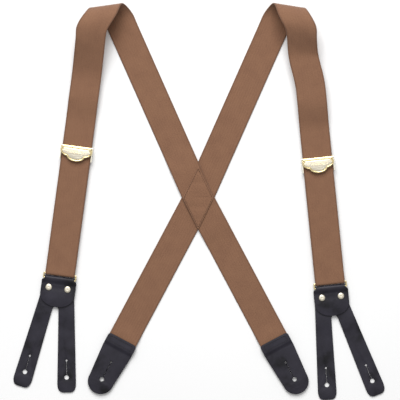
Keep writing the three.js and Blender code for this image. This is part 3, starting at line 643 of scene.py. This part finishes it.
def bend_points(end):
    """The shoulder bend and the fall to the flat front run: two quarter ellipses, then two smooth steps down.
    Sideways, the line goes over from the back run's to the front run's in a smooth step along its length."""
    w, h = settings("webbing"), heights()
    low, middle = w.thick / 2, (w.thick / 2 + w.shoulder_height) / 2
    a = np.radians(np.linspace(-90, 90, 61))
    reach = np.where(a < 0, CURL_LOW, CURL_HIGH)
    y = w.shoulder_y - reach * (1 - np.cos(a))
    z = middle + (w.shoulder_height - low) / 2 * np.sin(a)
    fall = np.linspace(w.shoulder_y - CURL_HIGH - 0.004, end["low"][0] - 0.006, 70)
    step = end["low_rise"] * smooth(fall, *end["low"])
    left = w.shoulder_height - h["front"] - end["low_rise"]
    high = left * smooth(fall, end["high"], w.shoulder_y - CURL_HIGH)
    y, z = np.r_[y, fall], np.r_[z, h["front"] + step + high]
    run = np.r_[0, np.cumsum(np.hypot(np.diff(y), np.diff(z)))]
    weight = smooth(run, run[30] - SHIFT[0], run[30] + SHIFT[1])
    arm = end["side"] * y * math.tan(math.radians(w.upper_arm))
    return np.stack([arm + (front_x(end, y) - arm) * weight, y, z], axis=1)


def strap_points(end):
    """The whole strap from the rear tab to the split below the adjuster."""
    stop = end["y"] - SPLIT_DROP * math.cos(math.radians(end["lean"]))
    y = np.linspace(end["low"][0] - 0.010, stop, 40)
    front = np.stack([front_x(end, y), y, np.full(len(y), heights()["front"])], axis=1)
    line = resample(np.concatenate([back_points(end), bend_points(end), front]), 0.0021)
    return relax(line, 4)


def bend_axis(end):
    """The direction that the width keeps through the bend: square to the change of direction."""
    lean, arm = math.radians(end["lean"]), math.radians(settings("webbing").upper_arm)
    up = np.array([-end["side"] * math.sin(lean), math.cos(lean)])
    down = np.array([-end["side"] * math.sin(arm), -math.cos(arm)])
    change = (up - down) / np.linalg.norm(up - down)
    return np.array([change[1], -change[0], 0.0])


def widths(line, axis):
    """The line across the webbing at each point. It is always level: near the bend it keeps the bend's axis,
    and further off it turns square to the strap. Its length is 1 / sin of its angle to the strap."""
    t = tangents(line)
    level = unit(np.stack([t[:, 1], -t[:, 0], np.zeros(len(t))], axis=1))
    level = level * np.where(level @ axis < 0, -1, 1)[:, None]
    run = run_of(line)
    off = np.abs(run - run[np.argmax(line[:, 1])])
    across = unit(level + (axis - level) * (1 - smooth(off, 0.045, 0.105))[:, None])
    return across / np.sqrt(1 - np.sum(across * t, axis=1, keepdims=True) ** 2)


# ---- Operators -----------------------------------------------------------------------------------


def attach(obj, body, slot, *nodes):
    """Puts a piece on the body that it rides on and hides the CAD nodes that it stands for. Its slot is not
    used.
    """
    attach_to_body(obj, body)
    if nodes:
        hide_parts(*nodes)


def declare():
    """Reads the webbing's width and does nothing with it."""
    settings("webbing").width


def stitches(name, line, spacing, radius, kind, body, stands_for):
    """Single stitches along a line of points: each a short arched ellipsoid-ended bead of thread."""
    even = resample(line, spacing)
    starts, ends = even[:-1], even[1:]
    v = np.linspace(0, 1, 7)
    reach = 0.80
    along = starts[:, None] + (ends - starts)[:, None] * (0.5 + (v[None, :, None] - 0.5) * reach)
    thick = radius * np.sqrt(np.clip(1 - (2 * v - 1) ** 4, 0.05, 1))
    arch = radius * 0.9 * (1 - (2 * v - 1) ** 2) - radius * 0.45
    across = unit(np.cross(ends - starts, [0, 0, 1.0]))
    a = np.arange(8) * math.pi / 4
    a = a[None, None, :, None]
    ring = np.cos(a) * across[:, None, None] + np.sin(a) * UP
    p = along[:, :, None] + ring * thick[None, :, None, None] + arch[None, :, None, None] * UP
    quads = tube_faces(7, 8)
    caps = [list(range(8))[::-1], list(range(48, 56))]
    faces = []
    for k in range(len(starts)):
        faces += (quads + 56 * k).tolist() + [[i + 56 * k for i in cap] for cap in caps]
    obj = make_object(name, p.reshape(-1, 3), faces, finish_of(kind))
    face_outwards(obj)
    attach(obj, body, kind, stands_for)


class EachSide:
    """An operator that builds its pieces once for each side."""

    def execute(self, context):
        for end in SIDES:
            self.build(end)
        return {"FINISHED"}


class SUSPENDERS_OT_straps(EachSide, bpy.types.Operator):
    """Makes the two straps from rear tab to adjuster"""

    bl_idname = "suspenders.straps"
    bl_label = "Straps"

    def build(self, end):
        line = strap_points(end)
        name = f"webbing_{end['name']}"
        obj = swept(name, line, widths(line, bend_axis(end)), web_profile(), finish_of("webbing"))
        attach(obj, "straps", "webbing", f"strap_{end['name']}")
        declare()


def strip(end, name, points, base_y):
    """A length of webbing along [y, z] points of a local frame of the front run."""
    origin, across, up = local(end, base_y)
    line = np.stack([np.zeros(len(points)), points[:, 0], points[:, 1]], axis=1)
    line = relax(resample(line, 0.0008), 2)
    path = place(line, origin, across, up)
    obj = swept(name, path, np.tile(across, (len(path), 1)), web_profile(), finish_of("webbing"))
    return obj, path


class SUSPENDERS_OT_lower_runs(EachSide, bpy.types.Operator):
    """Makes the webbing below each adjuster: front layer, turn round the loop, back layer"""

    bl_idname = "suspenders.lower_runs"
    bl_label = "Lower runs"

    def build(self, end):
        h, w = heights(), settings("webbing")
        n = end["name"]
        top = (end["y"] - end["loop"]) / math.cos(math.radians(end["lean"]))
        split = top - SPLIT_DROP - 0.05 * MM
        front = np.stack([np.linspace(split, WEB_SETTLE, 30), np.full(30, h["front"])], axis=1)
        y = np.linspace(WEB_SETTLE, 0.0002, 30)[1:]
        outside = h["loop"] + h["layer"]
        settle = np.stack([y, outside + (h["front"] - outside) * smooth(y, 0, WEB_SETTLE)], axis=1)
        a = np.radians(np.linspace(90, 270, 24))
        turn = np.stack([h["layer"] * np.cos(a), h["loop"] + h["layer"] * np.sin(a)], axis=1)
        far = len(turn) // 2
        inside = h["loop"] - h["layer"]
        under = np.stack([y[::-1], inside + (w.thick / 2 - inside) * smooth(y[::-1], 0, WEB_SETTLE)], axis=1)
        points = np.concatenate([front, settle, turn[:far]])
        obj, path = strip(end, f"webbing_{n}_front_layer", points, end["loop"])
        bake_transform(obj)
        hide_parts(f"strap_{n}_lower_run")
        declare()
        # The turn is parted at its far point, out of sight between the webbing's fold and the leather's. Its
        # rear half rides one body, so that the clash test compares it with the back layer, which blends.
        obj, path = strip(end, f"webbing_{n}_loop_fold", np.concatenate([turn[far:], under]), end["loop"])
        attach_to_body(obj, f"lower_run_{n}")
        declare()
        y = np.linspace(WEB_SETTLE, top - WRAP_LENGTH - GAP, 60)
        back = np.stack([y, np.full(60, w.thick / 2)], axis=1)
        obj, path = strip(end, f"webbing_{n}_back_layer", back, end["loop"])
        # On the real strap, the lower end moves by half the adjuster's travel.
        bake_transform(obj)
        declare()


def box_line(half, top, bottom, z):
    """A closed rectangle of points."""
    return np.array([[-half, top, z], [half, top, z], [half, bottom, z], [-half, bottom, z], [-half, top, z]])


class SUSPENDERS_OT_sewn_ends(EachSide, bpy.types.Operator):
    """Makes each strap's end round its adjuster's bar, with its box of stitches"""

    bl_idname = "suspenders.sewn_ends"
    bl_label = "Sewn ends"

    def build(self, end):
        h, w = heights(), settings("webbing")
        low, lid = w.thick / 2, w.thick * 1.5 + GAP
        n = end["name"]
        y = np.linspace(-WRAP_LENGTH, -BAR_DROP, 24)
        a = np.radians(np.linspace(-90, 90, 20))
        turn = np.stack([-BAR_DROP + h["bar_fold"] * np.cos(a), h["bar"] + h["bar_fold"] * np.sin(a)], axis=1)
        f = np.linspace(-BAR_DROP - 0.0005, -FLAP_LENGTH, 24)
        z = h["bar"] + h["bar_fold"]
        z = z + (lid - z) * smooth(-f, BAR_DROP, BAR_DROP + FLAP_SLOPE)
        points = np.concatenate([np.stack([y, np.full(24, low)], 1), turn, np.stack([f, z], 1)])
        obj, path = strip(end, f"webbing_{n}_sewn_end", points, end["y"])
        attach(obj, f"adjuster_{n}", "webbing", f"strap_{n}_sewn_end")
        declare()
        top = -BAR_DROP - FLAP_SLOPE - 0.0015
        line = box_line(w.width / 2 - 0.003, top, -FLAP_LENGTH + 0.0015, lid + w.thick / 2 + 0.0001)
        line = place(line, *local(end, end["y"]))
        stitches(f"stitches_{n}_end", line, 0.0026, 0.0003, "thread", f"adjuster_{n}",
                 f"strap_{n}_end_seam")


class SUSPENDERS_OT_crossing(bpy.types.Operator):
    """Makes the sewn diamond of webbing over the crossing"""

    bl_idname = "suspenders.crossing"
    bl_label = "Crossing"

    def execute(self, context):
        w = settings("webbing")
        mean = math.radians((w.upper_arm + w.lower_arm) / 2)
        base = 2 * (w.thick + GAP)
        thick = 1.3 * MM

        def corners(inset):
            half = w.width / 2 - inset
            tall, wide = half / math.sin(mean), half / math.cos(mean)
            return np.array([[0, -tall], [wide, 0], [0, tall], [-wide, 0]])

        outline = filled(corners(1.2 * MM), 0.002)[:, :2]
        patch = cut_sheet("webbing_cross_patch", [outline], thick, 0.45 * MM, finish_of("webbing"),
                          np.arange(-0.040, 0.0401, 0.002))
        seam = 2.6 * MM

        def settle(p):
            """The face dips by 0.35 mm along the seam and by half that outside it."""
            u = np.abs(p[:, 0]) * math.cos(mean) + np.abs(p[:, 1]) * math.sin(mean)
            inside = w.width / 2 - u
            dip = 0.30 * MM * np.exp(-(((inside - seam) / (0.8 * MM)) ** 2)) + 0.12 * MM * (inside < seam)
            top = p[:, 2] > 0
            z = base + thick / 2 + p[:, 2] - dip * top
            return np.stack([p[:, 0], p[:, 1], z], axis=1)

        # The weave's UV is X and Y in metres, drawn a third coarser than on the straps.
        give_uv(patch.data, 0.75 * places_of(patch.data)[:, :2])
        reshape(patch, settle)
        attach(patch, "straps", "webbing", "cross_patch")
        ring = np.r_[corners(seam), corners(seam)[:1]]
        line = np.c_[ring, np.full(5, base + thick - 0.0001)]
        stitches("stitches_cross_patch", line, 0.0024, 0.00032, "thread", "straps", "cross_patch_seam")
        return {"FINISHED"}


def keyhole(x, y, angle, slit):
    """A buttonhole's outline: a round eye, a slit and a small stop hole, turned by an angle."""
    l = settings("leather")
    r, s, half = l.eye / 2, l.stop / 2, l.slit / 2
    open_r, open_s = math.degrees(math.asin(half / r)), math.degrees(math.asin(half / s))
    eye = arc(0, 0, r, 90 + open_r, 450 - open_r, 28)
    stop = arc(0, slit, s, -90 + open_s, 270 - open_s, 16)
    p = np.concatenate([eye, stop])
    c, d = math.cos(angle), math.sin(angle)
    return np.stack([x + p[:, 0] * c - p[:, 1] * d, y + p[:, 0] * d + p[:, 1] * c], axis=1)


def circle(x, y, r, count=24):
    """A round hole's outline."""
    return arc(x, y, r, 0, 360 - 360 / count, count)


class SUSPENDERS_OT_rear_tabs(EachSide, bpy.types.Operator):
    """Makes the sewn leather tab at each strap's rear end"""

    bl_idname = "suspenders.rear_tabs"
    bl_label = "Rear tabs"

    def outline(self):
        l = settings("leather")
        radius, straight, corner = 0.0168, 0.018, 0.004
        slope = math.degrees(math.asin((l.tab_half - radius) / (l.tab_length - straight - radius)))
        centre = -(l.tab_length - radius)
        return np.concatenate([
            arc(l.tab_half - corner, -corner, corner, 90, 0), [[l.tab_half, -straight]],
            arc(0, centre, radius, slope, -180 - slope, 34), [[-l.tab_half, -straight]],
            arc(-l.tab_half + corner, -corner, corner, 180, 90),
        ])

    def build(self, end):
        l, w = settings("leather"), settings("webbing")
        n = end["name"]
        arm = math.radians(w.lower_arm)
        turn = -end["side"] * arm
        origin = np.array([-end["side"] * w.lower_arm_length * math.sin(arm),
                           -w.lower_arm_length * math.cos(arm), 0.0])
        across, up = (np.array([math.cos(turn), math.sin(turn), 0.0]),
                      np.array([-math.sin(turn), math.cos(turn), 0.0]))
        low = l.thick / 2
        flat = low + l.thick + GAP
        high = flat + w.thick + GAP
        hole = keyhole(0, -(l.tab_length - EYE_FROM_END), 0, REAR_SLIT)
        cuts = -np.r_[np.arange(0.001, 0.026, 0.0006), np.arange(0.027, 0.078, 0.003)]
        seams = (-0.0026, -0.0098)

        def back(p):
            return place(np.c_[p[:, :2], low + p[:, 2]], origin, across, up)

        def front(p):
            """Level over the webbing, then a smooth step down to the back layer. It dips at the seams."""
            step = high + (flat - high) * smooth(-p[:, 1], *TAB_STEP)
            groove = sum(np.exp(-(((p[:, 1] - y) / 0.0006) ** 2)) for y in seams)
            inside = np.abs(p[:, 0]) < 0.0165
            dip = TAB_SEAM_DEPTH * groove * inside * (p[:, 2] > 0)
            return place(np.c_[p[:, :2], step + p[:, 2] - dip], origin, across, up)

        for layer, rule in (("back", back), ("front", front)):
            tab = cut_sheet(f"leather_rear_tab_{n}_{layer}", [self.outline(), hole[::-1]], l.thick, l.edge,
                            finish_of("leather"), cuts, finish_of("leather_edge"))
            reshape(tab, rule)
            attach(tab, "straps", "leather", f"rear_tab_{n}_{layer}")
        line = place(box_line(0.0155, *seams, high + l.thick / 2 - 0.0001), origin, across, up)
        stitches(f"stitches_rear_tab_{n}", line, 0.0027, 0.00034, "black_thread", "straps",
                 f"rear_tab_{n}_seam")


class SUSPENDERS_OT_front_leather(EachSide, bpy.types.Operator):
    """Makes the forked leather end of each front run, folded over its wire loop"""

    bl_idname = "suspenders.front_leather"
    bl_label = "Front leather ends"

    def build(self, end):
        l, b, h = settings("leather"), settings("brass"), heights()
        n = end["name"]
        fold = h["inner"] + l.thick / 2
        back, floor = LEATHER_LIFT + l.thick / 2, l.thick / 2
        laid = LEATHER_LIFT + l.thick * 1.5 + GAP
        # The side view of the folded sheet, from the ends of the legs to the end of the tongue.
        a = np.radians(np.linspace(-90, 90, 25))
        legs = np.linspace(-0.160, -0.0005, 140)
        flap = np.linspace(0.0005, 0.044, 60)
        top = h["loop"] + fold
        side = np.concatenate([
            np.stack([legs, floor + (back - floor) * smooth(legs, *LEG_FALL)], axis=1),
            np.stack([fold * np.cos(a), h["loop"] + fold * np.sin(a)], axis=1),
            np.stack([-flap, top + (laid - top) * smooth(flap, *TONGUE_FALL)], axis=1),
        ])
        run = np.r_[0, np.cumsum(np.hypot(*np.diff(side, axis=0).T))]
        run = run - run[len(legs) + len(a) // 2]
        tongue = float(np.interp(TONGUE_LENGTH, flap, run[-len(flap):]))
        half = math.pi * fold / 2
        outline = self.outline(end, half, tongue)
        holes = self.holes(end, half)
        cuts = np.r_[np.linspace(-half - 0.002, half + 0.010, 60), -np.arange(0.040, 0.070, 0.002)]
        sheet = cut_sheet(f"leather_front_{n}", [outline, *holes], l.thick, l.edge, finish_of("leather"),
                          cuts, finish_of("leather_edge"))
        direction = unit(np.gradient(side, axis=0))
        normal = np.stack([direction[:, 1], -direction[:, 0]], axis=1)
        origin, across, up = local(end, end["loop"])
        origin = origin - up * b.pitch

        def bend(p):
            """The flat sheet laid along the side view: place on the line plus the height along its normal."""
            at = np.stack([np.interp(p[:, 1], run, side[:, k]) for k in (0, 1)], axis=1)
            nor = unit(np.stack([np.interp(p[:, 1], run, normal[:, k]) for k in (0, 1)], axis=1))
            yz = at + nor * p[:, 2:]
            return place(np.c_[p[:, 0], yz], origin, across, up)

        reshape(sheet, bend)
        attach(sheet, f"leather_{n}", "leather", f"front_leather_{n}")

    def outline(self, end, half, tongue):
        """The sheet before it is folded: two legs, the body, the narrow neck and the round tongue. Its Y is
        the place along the sheet, 0 in the middle of the fold."""
        l = settings("leather")
        w, neck, r = l.flap_half, NECK_HALF, 0.0026
        shoulder = half + 0.0014
        s = end["side"]
        angles = {s: end["outer"], -s: end["inner"]}
        right = self.leg(1, angles[1], half)
        left = self.leg(-1, angles[-1], half)[::-1]
        crotch = self.crotch(right, left)
        low = -half - 0.024
        corner = arc(w - r, -shoulder - r, r, 0, 90, 6)
        top = arc(w - r, shoulder + r, r, -90, 0, 6)
        round_end = np.concatenate([
            bezier((w, half + 0.020), (w, tongue - 0.006), (0.012, tongue), (0, tongue), 16),
            bezier((0, tongue), (-0.012, tongue), (-w, tongue - 0.006), (-w, half + 0.020), 16)[:-1],
        ])
        return np.concatenate([
            right, [[w, low]], corner, [[neck, -shoulder], [neck, shoulder]], top, [[w, half + 0.020]],
            round_end, [[-w, half + 0.020]], top[::-1] * [-1, 1], [[-neck, shoulder], [-neck, -shoulder]],
            corner[::-1] * [-1, 1], [[-w, low]], left, crotch,
        ])

    def leg(self, sign, degrees, half):
        """One leg's outline from its inner root round its end to its outer root, for the leg at +X, mirrored
        by sign."""
        l = settings("leather")
        a = math.radians(degrees)
        start = -LEG_START - half
        run = (l.fork_length - heights()["inner"] - l.thick - LEG_START) / math.cos(a)
        root, tip, corner = 0.01025, 0.012, 0.0085
        side = -run + corner * 1.4
        p = np.concatenate([
            [[-root, -0.012], [-tip, side]],
            bezier((-tip, side), (-tip, -run + 0.002), (-tip + 0.004, -run), (-tip + corner, -run), 8),
            [[tip - corner, -run]],
            bezier((tip - corner, -run), (tip - 0.004, -run), (tip, -run + 0.002), (tip, side), 8),
            [[root, -0.014]],
        ])
        c, d = math.cos(a), math.sin(a)
        x = LEG_ROOT_X + p[:, 0] * c - p[:, 1] * d
        y = start + p[:, 0] * d + p[:, 1] * c
        return np.stack([sign * x, y], axis=1)

    def crotch(self, right, left):
        """A round notch between the legs' inner roots, from the left one to the right one."""
        a, b = left[-1], right[0]
        middle = (a + b) / 2
        return bezier(a, middle + [-0.0005, 0.006], middle + [0.0005, 0.006], b, 8)[:-1]

    def holes(self, end, half):
        """Two buttonholes and the rivets' four holes, two through each layer."""
        l = settings("leather")
        s = end["side"]
        made = []
        for sign, degrees in ((s, end["outer"]), (-s, end["inner"])):
            a = math.radians(degrees)
            start = -LEG_START - half
            run = (l.fork_length - heights()["inner"] - l.thick - LEG_START) / math.cos(a) - EYE_FROM_END
            x, y = sign * (LEG_ROOT_X + run * math.sin(a)), start - run * math.cos(a)
            made.append(keyhole(x, y, sign * a, FRONT_SLIT)[::-1])
        for x in (-RIVET_X, RIVET_X):
            made.append(circle(x, -half - RIVET_DROP, 0.0024)[::-1])
            made.append(circle(x, half + RIVET_DROP + 0.2 * MM, 0.0024)[::-1])
        return made


def wire_path(half_wide, pitch, corner):
    """The loop's middle line: a rectangle with round corners, going round once."""
    x, y = half_wide - corner, corner
    return np.concatenate([
        arc(x, -y, corner, 90, 0, 9), arc(x, -pitch + y, corner, 0, -90, 9),
        arc(-x, -pitch + y, corner, -90, -180, 9), arc(-x, -y, corner, 180, 90, 9),
    ])


class SUSPENDERS_OT_wire_loops(EachSide, bpy.types.Operator):
    """Makes the round-wire loop that links webbing and leather on each side"""

    bl_idname = "suspenders.wire_loops"
    bl_label = "Wire loops"

    def build(self, end):
        w, b, h = settings("webbing"), settings("brass"), heights()
        half = w.width / 2 + 0.4 * MM + b.wire / 2
        line = filled(wire_path(half, b.pitch, 0.0012), 0.0004)
        line[:, 2] = h["loop"]
        path = place(line, *local(end, end["loop"]))
        up = np.tile(UP, (len(path), 1))
        loop = swept(f"brass_wire_loop_{end['name']}", path, up, round_profile(b.wire / 2, b.wire / 2),
                     finish_of("rim"), closed=True)
        attach(loop, f"loop_{end['name']}", "brass", f"wire_loop_{end['name']}")


class SUSPENDERS_OT_rivets(EachSide, bpy.types.Operator):
    """Makes the domed rivet caps"""

    bl_idname = "suspenders.rivets"
    bl_label = "Rivet caps"

    def build(self, end):
        l, b = settings("leather"), settings("brass")
        seat = LEATHER_LIFT + 2 * l.thick + GAP
        r = b.cap / 2
        a = np.radians(np.linspace(0, 90, 14))[:-1]
        dome = np.stack([r * np.cos(a) ** 0.5, seat + 0.0004 + (b.cap_height - 0.0004) * np.sin(a)], axis=1)
        top = seat + b.cap_height
        dimple = [[0.0007, top - 0.00004], [0.0004, top - 0.00012], [0, top - 0.00015]]
        post = [[0, LEATHER_LIFT], [0.0013, LEATHER_LIFT], [0.0013, seat], [r - 0.0002, seat],
                [r, seat + 0.0002]]
        profile = np.concatenate([post, dome, dimple])
        origin, across, up = local(end, end["loop"])
        for sign in (-1, 1):
            tag = "outer" if sign * end["side"] > 0 else "inner"
            centre = place(np.array([sign * RIVET_X, -b.pitch - RIVET_DROP, 0]), origin, across, up)
            cap = lathe(f"brass_rivet_{end['name']}_{tag}", profile, centre, finish_of("field"))
            attach(cap, f"leather_{end['name']}", "brass", f"rivet_{end['name']}_{tag}_cap")


def cover_outline(inset):
    """The cover's outline: a straight hinge edge, square shoulders, two side lobes and a lower lobe."""
    b = settings("brass")
    top, neck, wide = -0.0016 - inset, 0.0192 - inset, b.cover_width / 2 - inset
    step, depth = -0.0046 - inset, -b.cover_depth + inset
    nx, ny = 0.0112 - inset / 2, -0.0146 + inset
    right = np.concatenate([
        [[neck, top], [neck, step + 0.0004], [wide, step]],
        bezier((wide, step), (wide + 0.0004, -0.0095), (0.0175 - inset, -0.0136 + inset), (nx, ny), 16),
        bezier((nx, ny), (nx - 0.0008, depth + 0.0019), (0.0046, depth), (0, depth), 16),
    ])
    return np.concatenate([right, right[-2::-1] * [-1, 1]])


class SUSPENDERS_OT_covers(EachSide, bpy.types.Operator):
    """Makes each adjuster cover's rolled rim and satin field"""

    bl_idname = "suspenders.covers"
    bl_label = "Adjuster covers"

    def build(self, end):
        h, w = heights(), settings("webbing")
        skin = h["front"] + w.thick / 2 + GAP + 2 * BARREL_RADIUS
        n = end["name"]
        frame_at = local(end, end["y"])
        line = filled(cover_outline(RIM_INSET), 0.0006)
        line = relax(np.r_[line, line[:3]], 2)[1:-2]
        line[:, 2] = skin + 0.0004
        path = place(line, *frame_at)
        up = np.tile(UP, (len(path), 1))
        rim = swept(f"brass_cover_rim_{n}", path, up, round_profile(0.0007, 0.0009, 16), finish_of("rim"),
                    closed=True)
        field = cut_sheet(f"brass_cover_field_{n}", [cover_outline(FIELD_INSET)[::-1]], 0.0009, 0.00035,
                          finish_of("field"), np.arange(-0.0195, -0.003, 0.0007))

        def crown(p):
            """A low crown over the field, highest at its middle and cut off where it would go below 0."""
            x, y = p[:, 0] / 0.019, (p[:, 1] + 0.0095) / 0.0095
            rise = 0.0007 * np.clip(1 - 0.55 * x * x - 0.8 * y * y, 0, 1)
            return place(np.c_[p[:, :2], skin + 0.00045 + p[:, 2] + rise], *frame_at)

        reshape(field, crown)
        for piece in (rim, field):
            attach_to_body(piece, f"cover_{n}")


class SUSPENDERS_OT_fittings(bpy.types.Operator):
    """Gives the carried-over frame, pin, cover and rivet bases their metal"""

    bl_idname = "suspenders.fittings"
    bl_label = "Fittings"

    def execute(self, context):
        kinds = {"pin": "steel", "cover": "rim", "frame": "field", "base": "field"}
        for name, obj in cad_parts.items():
            kind = kinds.get(name.rsplit("_", 1)[-1])
            if kind and not obj.hide_render:
                obj.data.materials.clear()
                obj.data.materials.append(finish_of(kind))
        return {"FINISHED"}


class SUSPENDERS_OT_stage(bpy.types.Operator):
    """Makes the floor, the lights and the camera"""

    bl_idname = "suspenders.stage"
    bl_label = "Stage"

    def execute(self, context):
        s = settings("stage")
        size = 8.0
        grid = np.linspace(-size, size, 3)
        x, y = np.meshgrid(grid, grid)
        vertices = np.stack([x.ravel(), y.ravel(), np.full(9, -0.0002)], axis=1)
        faces = [[k, k + 1, k + 4, k + 3] for k in (0, 1, 3, 4)]
        floor = make_object("floor", vertices, faces, self.paper())
        self.light("overhead", (0.1, 0.5, 2.6), 2.6, s.overhead)
        self.light("key", (-0.3, 2.1, 2.1), 2.0, s.key)
        world = bpy.data.worlds.new("white_studio")
        context.scene.world = world
        world.use_nodes = True
        background = world.node_tree.nodes["Background"]
        background.inputs["Color"].default_value = linear("#ffffff")
        background.inputs["Strength"].default_value = s.world
        context.scene.view_settings.view_transform = "Standard"
        camera = bpy.data.cameras.new("camera")
        camera.sensor_width = 36.0
        camera.lens = camera.sensor_width * s.camera_height / s.view_width
        camera.clip_end = 50.0
        holder = bpy.data.objects.new("camera", camera)
        holder.location = (s.centre_x, s.centre_y, s.camera_height)
        context.scene.collection.objects.link(holder)
        context.scene.camera = holder
        return {"FINISHED"}

    def paper(self):
        """Matt white paper sweep, with the faintest unevenness."""
        material, tree, shader = start_material("paper_white_matt", Roughness=0.95, Specular_IOR_Level=0.1)
        cloud = noise(tree, (node(tree, "ShaderNodeTexCoord"), "Object"), 3.0, 2.0)
        tone = ramp(tree, cloud, "Fac", [(0.3, linear("#f6f6f6")), (0.7, linear("#f9f9f9"))])
        dress(tree, shader, tone.outputs[0])
        return material

    def light(self, name, where, size, power):
        """A square soft light that points at the object's middle."""
        data = bpy.data.lights.new(name, "AREA")
        data.size = size
        data.energy = power
        obj = bpy.data.objects.new(name, data)
        towards = -np.array(where)
        turn = math.atan2(math.hypot(towards[0], towards[1]), -towards[2])
        obj.location = where
        obj.rotation_euler = (turn, 0, math.atan2(towards[1], towards[0]) - math.pi / 2)
        bpy.context.scene.collection.objects.link(obj)


class SUSPENDERS_PT_panel(bpy.types.Panel):
    bl_label = "Suspenders"
    bl_idname = "SUSPENDERS_PT_panel"
    bl_space_type = "VIEW_3D"
    bl_region_type = "UI"
    bl_category = "Suspenders"

    def draw(self, context):
        for group in GROUPS:
            box = self.layout.box()
            box.label(text=group.title())
            for key in settings(group).__annotations__:
                box.prop(settings(group), key)
        for operator in OPERATORS:
            self.layout.operator(operator.bl_idname)


GROUPS = {
    "webbing": SuspendersWebbing,
    "leather": SuspendersLeather,
    "brass": SuspendersBrass,
    "colours": SuspendersColours,
    "stage": SuspendersStage,
}
OPERATORS = (
    SUSPENDERS_OT_stage,
    SUSPENDERS_OT_straps,
    SUSPENDERS_OT_lower_runs,
    SUSPENDERS_OT_sewn_ends,
    SUSPENDERS_OT_crossing,
    SUSPENDERS_OT_rear_tabs,
    SUSPENDERS_OT_front_leather,
    SUSPENDERS_OT_wire_loops,
    SUSPENDERS_OT_rivets,
    SUSPENDERS_OT_covers,
    SUSPENDERS_OT_fittings,
)


def register():
    for name, group in GROUPS.items():
        bpy.utils.register_class(group)
        setattr(bpy.types.Scene, f"suspenders_{name}", bpy.props.PointerProperty(type=group))
    for cls in (*OPERATORS, SUSPENDERS_PT_panel):
        bpy.utils.register_class(cls)


def unregister():
    for cls in (SUSPENDERS_PT_panel, *reversed(OPERATORS)):
        bpy.utils.unregister_class(cls)
    for name, group in GROUPS.items():
        delattr(bpy.types.Scene, f"suspenders_{name}")
        bpy.utils.unregister_class(group)


def main():
    register()
    for operator in OPERATORS:
        group, name = operator.bl_idname.split(".")
        getattr(getattr(bpy.ops, group), name)()


if __name__ == "__main__":
    main()
